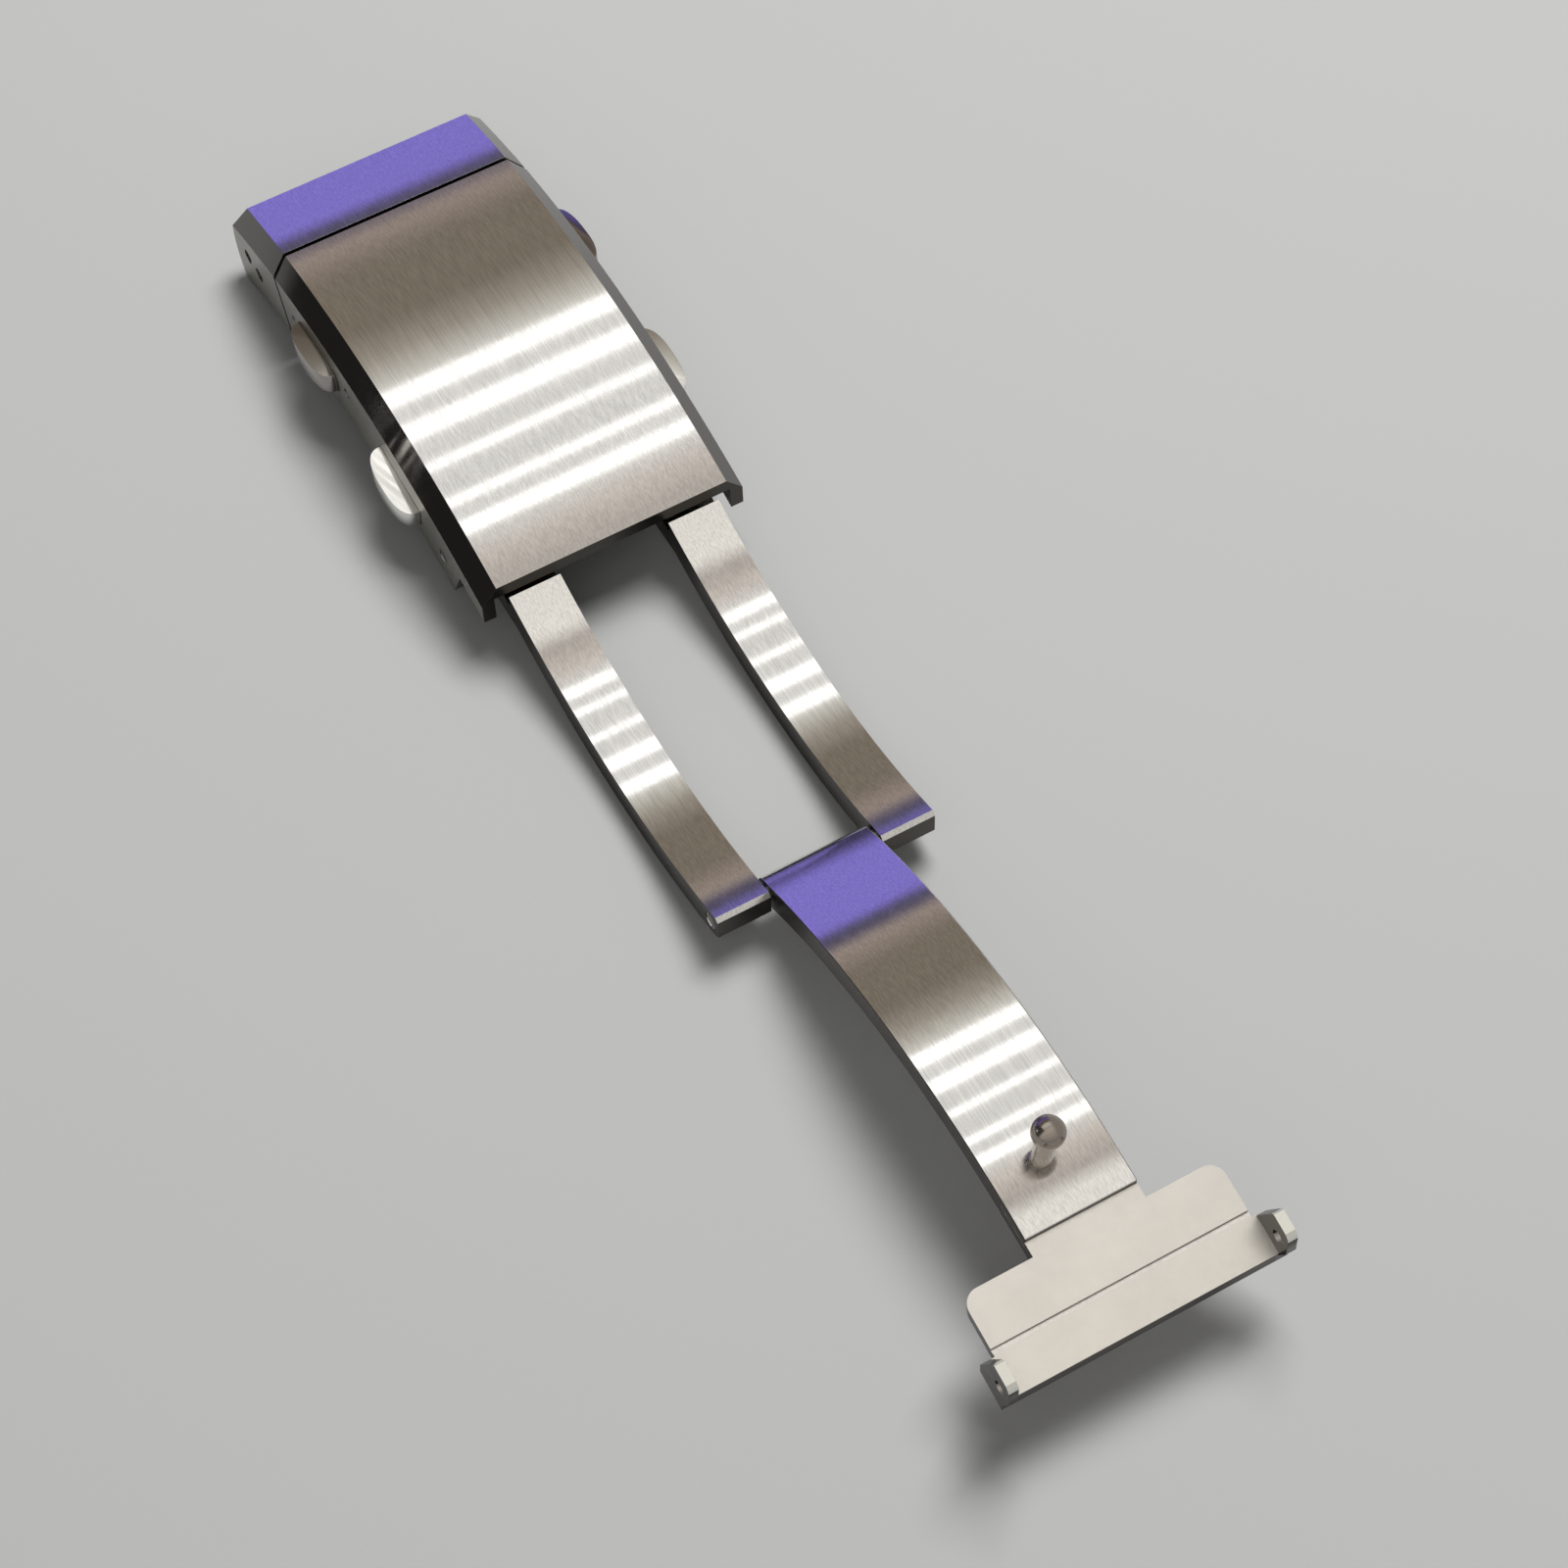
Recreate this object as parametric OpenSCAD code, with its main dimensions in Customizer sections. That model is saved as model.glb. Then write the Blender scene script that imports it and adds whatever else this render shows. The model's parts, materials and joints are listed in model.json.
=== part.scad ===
// Folding deployant clasp for a watch bracelet, drawn fully open.
// Millimetres. +X runs from the end link to the T plate, +Y across, +Z up.
// The wearer's wrist lies on +Z over the arms and under the cover when shut.

/* [Cover] */
// Width over the two flanks
cover_w = 20;  // [19:0.5:24]
// Radius of the arched top face
arch_r = 70;  // [64:1:90]
// Height of the flanks, square to the arch
flank_h = 6.1;  // [6:0.1:6.6]
// Distance from the foot of the end link to the crown of the arch
apex_x = 19.4;  // [18:0.2:20.6]
// Distance from the foot of the end link to the open end of the cover
cover_end = 38.6;  // [38:0.2:40]
// Thickness of the cover under its top face
roof_t = 1;  // [0.8:0.1:1.1]
// Thickness of each flank
flank_t = 0.95;  // [0.8:0.05:1.05]
// Width and drop of the polished bevel along the top edges
bevel = 1.35;  // [0.6:0.05:1.4]
// Height of the notch that takes the lugs of the T plate
notch_h = 3.15;  // [3.1:0.05:3.4]

/* [End link] */
// Place of the joint between end link and cover, at the top face
split_x = 6;  // [5.8:0.1:6.6]
// How far that joint leans towards the cover on its way down
split_lean = 2.1;  // [0:0.1:2.2]
// Gap in that joint
split_gap = 0.4;  // [0.2:0.05:0.5]
// Radius of the bulged outer end
end_r = 7;  // [6.8:0.1:9]
// Thickness of the end link under its top face
link_roof = 1.3;  // [1:0.1:1.4]
// Thickness of each cheek of the end link
cheek_t = 1.6;  // [1:0.1:1.7]
// Radius of the two cross bores for the bracelet pin
link_bore_r = 0.55;  // [0.4:0.05:0.6]
// Angle of the adjusting slide below the horizontal
slide_deg = 8;  // [7:0.5:8.5]
// Thickness of the toothed slide plate
slide_t = 0.6;  // [0.4:0.05:0.65]
// Distance between two teeth of the slide plate
tooth_pitch = 1.25;  // [1:0.25:1.5]

/* [Pushers] */
// Centre of the locking pushers, from the foot of the end link
lock_x = 26.2;  // [26:0.1:26.6]
// Centre of the adjusting pushers, from the foot of the end link
adjust_x = 13.5;  // [13.3:0.1:13.7]
// Length of every pusher along the flank
push_l = 6;  // [4.5:0.25:6]
// Height of every pusher
push_h = 1.6;  // [1.3:0.1:1.6]
// How far the locking pushers stand out
lock_out = 1.4;  // [0.9:0.1:2]
// How far the adjusting pushers stand out
adjust_out = 1.2;  // [0.9:0.1:2]
// Travel of every pusher
push_travel = 0.7;  // [0.5:0.05:0.7]
// Play of a pusher in its window
push_play = 0.08;  // [0.05:0.01:0.12]

/* [Arms] */
// Distance from the foot of the end link to the first hinge
hinge_x = 32.6;  // [32.4:0.1:32.8]
// Height of the first hinge over the lower edge of the flank
hinge_up = 2.2;  // [2.1:0.05:2.4]
// Distance between the two hinges, along the clasp
link_l = 33.9;  // [33:0.1:35]
// Distance from the foot of the end link to where the arms touch the table
touch_x = 54;  // [53.4:0.2:54.6]
// Radius of the underside of the arms
arm_r = 44.2;  // [42:0.2:48]
// Thickness of the arms
arm_t = 2.2;  // [1.8:0.1:2.3]
// Width over both arms
arm_w = 16.1;  // [15.5:0.1:16.2]
// Width of the gap between the arms
arm_gap = 8.3;  // [7:0.1:8.6]
// Radius of both hinge pins
pin_r = 0.6;  // [0.5:0.05:0.65]
// Radial play of a hinge pin in the part that turns on it
pin_play = 0.04;  // [0.02:0.01:0.08]

/* [Blade and T plate] */
// Radius of the top face of the blade
blade_r = 46.2;  // [45:0.2:50]
// Mean thickness of the blade
blade_t = 1.82;  // [1.6:0.02:1.9]
// Metal of the blade over the axis of its hinge
hinge_wall = 1.05;  // [0.9:0.05:1.05]
// Play between the blade and each arm
blade_play = 0.2;  // [0.1:0.05:0.3]
// How far the blade sinks on its way from open to shut
shut_drop = 6.1;  // [6.05:0.05:6.4]
// Radius of the ball head of the locking stud
stud_r = 1.1;  // [1:0.05:1.15]
// Radius of the neck of the locking stud
stud_neck = 0.7;  // [0.5:0.05:0.7]
// Height of the middle of the ball head over the blade
stud_up = 2.7;  // [2.6:0.05:2.8]
// How far the end of the blade stands over the T plate
tee_step = 0.4;  // [0.3:0.05:0.45]
// Thickness of the T plate
tee_t = 0.85;  // [0.6:0.05:0.9]
// Length of the wings of the T plate
tee_l = 6.5;  // [6:0.1:6.6]
// Gap between the shut T plate and the flanks over it
tee_play = 0.2;  // [0.15:0.05:0.25]
// Height of the lugs over the T plate
lug_h = 3;  // [2.4:0.1:3]
// Radius of the pin bore through the lugs
lug_bore_r = 0.5;  // [0.4:0.05:0.6]

/* [Hidden] */
fine = 96;
round_fn = 240;
eps = 0.01;
seat = 0.05;
far = 2 * cover_end;
end_over = 1.04;
end_up = 3.6;
end_c = [end_r - end_over, end_up];
foot_x = end_c[0] - sqrt(end_r * end_r - end_up * end_up);
half_w = cover_w / 2;
in_w = half_w - flank_t;
in_r = arch_r - flank_h;
apex_z = arch_r - sqrt(in_r * in_r - (apex_x - foot_x) * (apex_x - foot_x));
arch_c = [apex_x, apex_z - arch_r];
roof_r = arch_r - roof_t;
function on_arc(r, x) = arch_c[1] + sqrt(r * r - (x - apex_x) * (x - apex_x));

// hinges, and where the second one stands when the clasp is shut
h1 = [hinge_x, on_arc(in_r, hinge_x) + hinge_up];
arm_c = [touch_x, arm_r];
h2_x = hinge_x + link_l;
h2_dx = h2_x - touch_x;
h2 = [h2_x, arm_r - sqrt(arm_r * arm_r - h2_dx * h2_dx) + arm_t / 2];
link_r = norm(h2 - h1);
shut_z = h2[1] - shut_drop;
shut_x = h1[0] - sqrt(link_r * link_r - (shut_z - h1[1]) * (shut_z - h1[1]));
shut = [shut_x - h2[0], -shut_drop];

// arms
arm_out = arm_w / 2;
arm_in = arm_gap / 2;
arm_set = 0.15;
arm_x0 = cover_end + arm_set;
arm_past = 1.1;
arm_x1 = h2_x + arm_past;
arm_edge = 0.3;
arm_top_r = arm_r - arm_t;
function on_arm(r, x) = arm_r - sqrt(r * r - (x - touch_x) * (x - touch_x));
tube_wall = 0.8;
hinge_r = pin_r + tube_wall;
knuckle_r = arm_t / 2 - eps;
side_play = 0.1;
pin_inset = 0.04;

// T plate, which lies just under the flanks when the clasp is shut
tee_c = arch_c - shut;
tee_r = in_r - tee_play;
tee_x1 = cover_end - shut[0];
tee_x0 = tee_x1 - tee_l;
tee_corner = 2;
lug_w = 1;
lug_t = 0.7;
tee_w = half_w - lug_w;
function on_tee(x) = tee_c[1] + sqrt(tee_r * tee_r - (x - tee_c[0]) * (x - tee_c[0]));
groove_in = 3;
groove_w = 0.15;
lug_back = 2.5;
lug_over = 0.65;
lug_lean = 1.3;
lug_x0 = tee_x1 - lug_back;
lug_x1 = tee_x1 + lug_over;
lug_top_r = tee_r + lug_h;
lug_bore_in = 0.35;
lug_bore_x = tee_x1 - lug_bore_in;
lug_bore = [lug_bore_x, on_tee(lug_bore_x) + lug_h / 2];

// blade, whose top face passes over its hinge and ends over the T plate
wing_back = 0.97;
blade_x1 = tee_x0 - wing_back;
blade_end = [blade_x1, on_tee(blade_x1) + tee_step];
hinge_arm = blade_r - hinge_wall;
chord = norm(blade_end - h2);
chord_dir = (blade_end - h2) / chord;
chord_foot = (hinge_arm * hinge_arm - blade_r * blade_r + chord * chord) / (2 * chord);
chord_drop = sqrt(hinge_arm * hinge_arm - chord_foot * chord_foot);
blade_c = h2 + chord_foot * chord_dir + chord_drop * [chord_dir[1], -chord_dir[0]];
blade_taper = 0.8;
blade_low = [blade_c[0] + blade_taper, blade_c[1]];
blade_low_r = blade_r - blade_t;
blade_w = arm_in - blade_play;
lap_l = 2.8;
lap_over = 1.4;
lap_t = 0.85;
lap_x = blade_x1 - lap_l;
bore_r = pin_r + pin_play;

// locking stud, drawn from where its head must stand when the clasp is shut
hook_off = 1;
hook_x = lock_x + hook_off;
stud_x = hook_x - shut[0];
stud_tilt = asin((stud_x - blade_c[0]) / (blade_r + stud_up));
stud_c = blade_c + (blade_r + stud_up) * [sin(stud_tilt), cos(stud_tilt)];
stud_shut_z = stud_c[1] + shut[1];
stud_foot = 0.35;

// locking pushers, their hooks and the plate that carries the hooks
lock_drop = 3.72;
lock_top = apex_z - lock_drop;
hook_drop = 0.87;
hook_t = 0.75;
hook_z1 = stud_shut_z - hook_drop;
hook_z0 = hook_z1 - hook_t;
hook_grip = 0.2;
hook_gap = stud_r - hook_grip;
hook_w = 1.35;
hook_past = 0.9;
bar_drop = 0.83;
bar_t = 0.78;
bar_z0 = lock_top - bar_drop;
bar_x = 1.25;
bar_w = 0.75;
block_z0 = lock_top + seat;
block_back = 4.6;
block_front = 4.5;
block_x0 = lock_x - block_back;
block_x1 = lock_x + block_front;
well_play = 0.5;
well_r = stud_r + well_play;
keeper_play = 0.06;
keeper_z1 = hook_z0 - keeper_play;
keeper_t = 0.45;
keeper_z0 = keeper_z1 - keeper_t;
keeper_side = 0.3;
keeper_w = arm_in - keeper_side;
post_w = 0.7;

// flanges behind the buttons, and the rails they push against
flange_over = 0.28;
flange_w = push_l / 2 + flange_over;
flange_t = 0.72;
flange_y1 = in_w - seat;
flange_y0 = flange_y1 - flange_t;
rail_play = 0.13;
rail_t = 0.9;
rail_y1 = flange_y0 - push_travel - rail_play;
rail_y0 = rail_y1 - rail_t;
rail_x0 = split_x + split_lean;
lip_w = 0.8;
lip_t = 0.44;

// adjusting slide with its slots and teeth, and the pawls below it
adjust_drop = 3.17;
adjust_top = apex_z - adjust_drop;
slide_set = 1.2;
slide_drop = 3.42;
slide_o = [adjust_x - slide_set, apex_z - slide_drop];
slide_play = 0.1;
slide_w = rail_y0 - slide_play;
slide_back = 9.3;
slide_front = 8.8;
slot_l = 7.5;
slot_in = 2.3;
slot_out = 4.65;
tooth_set = 0.35;
tooth_h = 0.35;
tooth_w = 0.3;
pawl_play = 0.1;
pawl_t = 0.55;
pawl_y1 = slot_out - tooth_h - pawl_play;
pawl_y0 = pawl_y1 - pawl_t;
pawl_w = 1;
pawl_dip = 0.25;
pawl_h = 1.1;
abar_drop = 0.62;
abar_t = 0.55;
abar_z1 = slide_o[1] - abar_drop;
abar_z0 = abar_z1 - abar_t;
abar_w = 1.2;
aflange_up = 0.6;

// guide pins, springs and screws
guide_pin_r = 0.3;
guide_ax = 9.45;
guide_bx = 18.2;
guide_ad = 4.27;
guide_bd = 3.07;
guide_a = [guide_ax, apex_z - guide_ad];
guide_b = [guide_bx, apex_z - guide_bd];
boss_w = 0.65;
boss_low = 0.6;
spring_r = 0.45;
spring_wall = 0.2;
spring_bore = 0.55;
spring_l = 2.4;
spring_in = rail_y1 - spring_l - push_travel;
lspring_drop = 2.95;
lspring_z = apex_z - lspring_drop;
aspring_set = 2.4;
aspring_x = adjust_x + aspring_set;
aspring_z = abar_z0 + spring_bore + side_play;
spring_seat = 0.75;
screw_r = 0.4;
screw_head = 0.7;
screw_l = 1.4;
sunk = 0.25;
slot_w = 0.2;
slot_t = 0.1;
screw_back = 3.9;
screw_front = 3.8;
screw_x = [lock_x - screw_back, lock_x + screw_front];

// end link
link_in = half_w - cheek_t;
link_ax = 1.3;
link_az = 3.5;
link_bx = 3.1;
link_bz = 3.3;
link_a = [link_ax, link_az];
link_b = [link_bx, link_bz];
wall_x0 = 2.9;
slide_screw_in = 1.3;
slide_screw_side = 1.8;
slide_screw_y = slide_w - slide_screw_side;
slide_screw_l = 1.45;
slide_head_t = 0.35;
mid_x = (lug_x1 - end_over) / 2;

steel = [0.80, 0.79, 0.76];
satin = [0.72, 0.71, 0.68];
polish = [0.88, 0.88, 0.90];
dark = [0.42, 0.42, 0.42];

// An outline drawn in X and Z, made solid from y0 to y1
module slab(y0, y1) {
    translate([0, y1, 0])
        rotate([90, 0, 0])
            linear_extrude(y1 - y0)
                children();
}

module disc(c, r) {
    translate(c)
        circle(r, $fn = round_fn);
}

module dot(c, r) {
    translate(c)
        circle(r, $fn = fine);
}

// A rod along Y
module rod(c, r, y0, y1) {
    slab(y0, y1)
        dot(c, r);
}

module box(x0, x1, y0, y1, z0, z1) {
    translate([x0, y0, z0])
        cube([x1 - x0, y1 - y0, z1 - z0]);
}

// An upright cylinder that stands on p
module post(p, r, h) {
    translate(p)
        cylinder(r = r, h = h, $fn = fine);
}

module place() {
    translate([-mid_x, 0, 0])
        children();
}

module both() {
    children();
    mirror([0, 1, 0])
        children();
}

// The arched body with its two bevels, before it is cut to length
module arch_body() {
    translate([arch_c[0], 0, arch_c[1]])
        rotate([90, 0, 0])
            rotate_extrude($fn = round_fn)
                polygon([[0, -half_w], [arch_r - bevel, -half_w], [arch_r, -half_w + bevel],
                         [arch_r, half_w - bevel], [arch_r - bevel, half_w], [0, half_w]]);
}

// Everything on the cover's side of the joint, moved along by s
module cover_side(s) {
    lean = split_lean / flank_h;
    z = on_arc(arch_r, split_x);
    polygon([[split_x + s - lean * flank_h, z + flank_h], [cover_end, z + flank_h],
             [cover_end, z - far], [split_x + s + lean * far, z - far]]);
}

module cover_shell() {
    color(steel) place() difference() {
        intersection() {
            arch_body();
            slab(-half_w, half_w)
                cover_side(split_gap);
        }
        slab(-half_w - seat, half_w + seat)
            disc(arch_c, in_r);
        slab(-in_w, in_w)
            disc(arch_c, roof_r);
        both() {
            slab(in_w - flank_t, half_w + seat)
                notch();
            window(lock_x, lock_top);
            window(adjust_x, adjust_top);
            rod(h1, pin_r, in_w - flank_t, half_w + seat);
            rod(guide_a, guide_pin_r, in_w - flank_t, half_w + seat);
            rod(guide_b, guide_pin_r, in_w - flank_t, half_w + seat);
        }
    }
}

// Space for a lug of the T plate, open below and at the cover's end
module notch() {
    x0 = hinge_x + hinge_r - pin_inset * 5;
    z0 = on_arc(in_r, x0);
    intersection() {
        disc(arch_c, in_r + notch_h);
        polygon([[x0, z0 - flank_h], [x0, z0], [x0 + lug_lean, z0 + notch_h],
                 [x0 + lug_lean * 1.25, z0 + flank_h], [far, z0 + flank_h],
                 [far, z0 - flank_h]]);
    }
}

module window(x, top) {
    box(x - push_l / 2 - push_play, x + push_l / 2 + push_play, in_w - flank_t,
        half_w + flank_t, top - push_h - push_play, top + push_play);
}

// Tilted frame of the adjusting slide: x runs along it, z square to it
module on_slide() {
    translate([slide_o[0], 0, slide_o[1]])
        rotate([0, -slide_deg, 0])
            children();
}

module slide_outline(low) {
    translate(slide_o)
        rotate(slide_deg)
            translate([-far / 2, low])
                square([far, far / 2]);
}

module lock_housing() {
    ceiling = roof_r - eps;
    back = block_x0 + lip_t;
    color(satin) place() difference() {
        union() {
            both() {
                // side rail with the lip that carries the slide plate
                slab(rail_y0, rail_y1) intersection() {
                    disc(arch_c, ceiling);
                    slide_outline(-lip_t - seat);
                    translate([rail_x0, 0])
                        square([back - rail_x0, far]);
                }
                intersection() {
                    on_slide()
                        box(-far, far, rail_y0 - lip_w, rail_y0 + side_play,
                            -lip_t - seat, -seat);
                    box(rail_x0, back, 0, half_w, 0, far);
                }
                boss(guide_a);
                boss(guide_b);
                // seat of the adjusting spring
                slab(spring_in - lip_t, rail_y1) difference() {
                    translate([aspring_x - spring_seat, abar_z0])
                        square([2 * spring_seat, hook_w * 2]);
                    slide_outline(-seat);
                }
            }
            // block over the locking hooks
            slab(-rail_y1, rail_y1) intersection() {
                disc(arch_c, ceiling);
                translate([block_x0, block_z0])
                    square([block_x1 - block_x0, far]);
            }
            // columns that carry the keeper plate
            for (x = screw_x)
                box(x - post_w, x + post_w, -keeper_w, keeper_w, keeper_z1,
                    block_z0 + post_w);
        }
        // window in the block for the ball head
        box(hook_x - well_r, hook_x + well_r, -well_r, well_r, block_z0 - stud_r, far);
        both() {
            rod([lock_x, lspring_z], spring_bore, spring_in, half_w);
            rod([aspring_x, aspring_z], spring_bore, spring_in, half_w);
            rod(guide_a, guide_pin_r, rail_y0 + sunk, half_w);
            rod(guide_b, guide_pin_r, rail_y0 + sunk, half_w);
        }
        for (x = screw_x)
            post([x, 0, keeper_z1 - keeper_t], screw_r, keeper_t + screw_l);
    }
}

// Foot of the housing that a guide pin holds against the flank
module boss(p) {
    slab(rail_y0, in_w - eps) intersection() {
        disc(arch_c, roof_r - eps);
        translate([p[0] - boss_w, p[1] - boss_low])
            square([2 * boss_w, far]);
    }
}

module housing_pins() {
    color(dark) place() both() {
        rod(guide_a, guide_pin_r, rail_y0 + sunk, half_w - pin_inset);
        rod(guide_b, guide_pin_r, rail_y0 + sunk, half_w - pin_inset);
    }
}

module keeper_plate() {
    color(satin) place() difference() {
        box(block_x0, block_x1, -keeper_w, keeper_w, keeper_z0, keeper_z1);
        post([hook_x + side_play, 0, keeper_z0 - keeper_t], well_r, 3 * keeper_t);
        for (x = screw_x) {
            post([x, 0, keeper_z0 - keeper_t], screw_r, 3 * keeper_t);
            post([x, 0, keeper_z0 - keeper_t], screw_head, keeper_t + sunk);
        }
    }
}

module keeper_screws() {
    low = keeper_z0 + eps;
    color(dark) place() for (x = screw_x) difference() {
        union() {
            post([x, 0, low], screw_head, sunk - eps);
            post([x, 0, low], screw_r, keeper_t + screw_l - seat);
        }
        box(x - screw_head - eps, x + screw_head + eps, -slot_w / 2, slot_w / 2,
            low - slot_t, low + slot_t);
    }
}

module arm_hinge_pin() {
    color(polish) place()
        rod(h1, pin_r, -half_w + pin_inset, half_w - pin_inset);
}

module end_link() {
    color(steel) place() difference() {
        intersection() {
            arch_body();
            slab(-half_w, half_w) difference() {
                disc(end_c, end_r);
                cover_side(0);
            }
        }
        slab(-half_w - seat, half_w + seat)
            disc(arch_c, in_r);
        // hollow between the cheeks, open below and outwards
        slab(-link_in, link_in) intersection() {
            disc(arch_c, arch_r - link_roof);
            translate([wall_x0 - far, -far / 2])
                square(far);
        }
        slab(-link_in, link_in) difference() {
            translate([wall_x0 - link_roof, -far / 2])
                square(far);
            slide_outline(slide_t);
        }
        // rebate beside the tongue of the slide plate
        both() slab(slide_w, link_in) intersection() {
            disc(arch_c, arch_r - link_roof);
            translate([wall_x0 - link_roof, -far / 2])
                square(far);
        }
        both() {
            rod(link_a, link_bore_r, link_in - cheek_t, half_w + seat);
            rod(link_b, link_bore_r, link_in - cheek_t, half_w + seat);
        }
        both() on_slide()
            post([slide_screw_in - slide_back, slide_screw_y, -slide_t], screw_r,
                 slide_t + slide_screw_l + seat);
    }
}

module slide_plate() {
    color(satin) place() on_slide() difference() {
        box(-slide_back, slide_front, -slide_w, slide_w, 0, slide_t);
        both() {
            translate([0, 0, -slide_t])
                linear_extrude(3 * slide_t)
                    slot_outline();
            post([slide_screw_in - slide_back, slide_screw_y, -slide_t], screw_r, 3 * slide_t);
        }
    }
}

// Slot of the slide plate, with a row of teeth along its outer edge
module slot_outline() {
    teeth = floor(slot_l / tooth_pitch);
    difference() {
        translate([-pawl_play, slot_in])
            square([slot_l, slot_out - slot_in]);
        for (i = [1 : teeth])
            translate([i * tooth_pitch - tooth_set, slot_out])
                polygon([[-tooth_w, seat], [0, -tooth_h], [tooth_w, seat]]);
    }
}

module slide_screws() {
    color(dark) place() on_slide() both()
        translate([slide_screw_in - slide_back, slide_screw_y, 0]) difference() {
            union() {
                post([0, 0, -slide_head_t], screw_head, slide_head_t);
                post([0, 0, -slide_head_t], screw_r, slide_head_t + slide_screw_l);
            }
            box(-screw_head - eps, screw_head + eps, -slot_w / 2, slot_w / 2,
                -slide_head_t - slot_t, -slide_head_t + slot_t);
        }
}

// Rounded button that stands out of a flank on +Y; x is its centre, top its upper face
module button(x, top, out) {
    r = (push_l * push_l / 4 + out * out) / (2 * out);
    translate([x, 0, top - push_h]) linear_extrude(push_h) union() {
        translate([-push_l / 2, flange_y0])
            square([push_l, half_w - flange_y0]);
        intersection() {
            translate([0, half_w + out - r])
                circle(r, $fn = fine);
            translate([-push_l, half_w - seat])
                square([2 * push_l, push_l]);
        }
    }
}

// Button and flange of the locking pusher on the +Y side
module lock_button() {
    difference() {
        button(lock_x, lock_top, lock_out);
        box(lock_x - push_l, lock_x + push_l, flange_y0 - seat, flange_y1,
            bar_z0 - push_h, bar_z0);
    }
    box(lock_x - flange_w, lock_x + flange_w, flange_y0, flange_y1, bar_z0,
        lspring_z + spring_bore + tee_play);
}

// Its bar and hook, which reach round to the far side of the stud
module lock_hook() {
    bar_x0 = hook_x - bar_x - bar_w;
    box(bar_x0, bar_x0 + bar_w, keeper_w - flange_t, flange_y0 + seat, bar_z0,
        bar_z0 + bar_t);
    box(bar_x0, bar_x0 + bar_w, -hook_gap - hook_w, keeper_w + seat, hook_z0,
        max(hook_z1, bar_z0 + sunk));
    box(bar_x0, hook_x + hook_past, -hook_gap - hook_w, -hook_gap, hook_z0, hook_z1);
}

// Adjusting pusher on the +Y side; its pawl stands up in the slot of the slide plate
module adjust_pusher() {
    half_tooth = tooth_pitch / 2;
    union() {
        difference() {
            button(adjust_x, adjust_top, adjust_out);
            box(adjust_x - push_l, adjust_x + push_l, flange_y0 - seat, flange_y1,
                abar_z0 - push_h, abar_z0);
        }
        box(adjust_x - flange_w, adjust_x + flange_w, flange_y0, flange_y1, abar_z0,
            adjust_top + aflange_up);
        box(adjust_x - abar_w, adjust_x + abar_w, pawl_y0, flange_y0 + seat, abar_z0,
            abar_z1);
        translate([adjust_x, 0, abar_z1 - seat])
            linear_extrude(slide_t + pawl_h)
                polygon([[-pawl_w, pawl_y0], [-pawl_w, pawl_y1 - pawl_dip],
                         [-half_tooth, pawl_y1], [0, pawl_y1 - pawl_dip],
                         [half_tooth, pawl_y1], [pawl_w, pawl_y1 - pawl_dip],
                         [pawl_w, pawl_y0]]);
    }
}

module spring_sleeve(p) {
    slab(rail_y1 - spring_l + eps, flange_y0) difference() {
        dot(p, spring_r);
        dot(p, spring_r - spring_wall);
    }
}

// Half a turn about the upright line through the shut stud
module turned() {
    translate([hook_x, 0, 0])
        rotate([0, 0, 180])
            translate([-hook_x, 0, 0])
                children();
}

module lock_pusher_left() {
    color(polish) place() union() {
        mirror([0, 1, 0])
            lock_button();
        turned()
            lock_hook();
    }
}

module lock_pusher_right() {
    color(polish) place() union() {
        lock_button();
        lock_hook();
    }
}

module lock_spring_left() {
    color(dark) place() mirror([0, 1, 0]) spring_sleeve([lock_x, lspring_z]);
}

module lock_spring_right() {
    color(dark) place() spring_sleeve([lock_x, lspring_z]);
}

module adjust_pusher_left() {
    color(polish) place() mirror([0, 1, 0]) adjust_pusher();
}

module adjust_pusher_right() {
    color(polish) place() adjust_pusher();
}

module adjust_spring_left() {
    color(dark) place() mirror([0, 1, 0]) spring_sleeve([aspring_x, aspring_z]);
}

module adjust_spring_right() {
    color(dark) place() spring_sleeve([aspring_x, aspring_z]);
}

// Band of an arm, with a square end whose two edges are broken
module arm_outline() {
    x2 = arm_x1 - arm_edge;
    z_top = on_arm(arm_top_r, x2);
    z_low = on_arm(arm_r, x2);
    difference() {
        intersection() {
            disc(arm_c, arm_r);
            polygon([[arm_x0, -arm_t], [x2 - arm_t, -arm_t], [x2 - arm_t, z_low - arm_t],
                     [arm_x1, z_low + arm_edge], [arm_x1, z_top - arm_edge],
                     [x2 - arm_t, z_top + arm_t], [x2 - arm_t, arm_r], [arm_x0, arm_r]]);
        }
        disc(arm_c, arm_top_r);
    }
}

// Neck that joins an arm's band to the first hinge, under the cover
module neck_outline() {
    x1 = arm_x0 + lug_w;
    low = on_arm(arm_r, x1);
    polygon([[h1[0], h1[1] + hinge_r * 0.8], [x1, low + arm_t * 0.68], [x1, low + eps],
             [h1[0], h1[1] - hinge_r + eps]]);
}

module arm_frame() {
    color(steel) place() difference() {
        union() {
            both() slab(arm_in, arm_out) {
                arm_outline();
                neck_outline();
            }
            rod(h1, hinge_r, -in_w + side_play, in_w - side_play);
        }
        rod(h1, bore_r, -half_w, half_w);
        rod(h2, pin_r, -half_w, half_w);
    }
}

module blade_hinge_pin() {
    color(polish) place()
        rod(h2, pin_r, -arm_out + pin_inset, arm_out - pin_inset);
}

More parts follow.
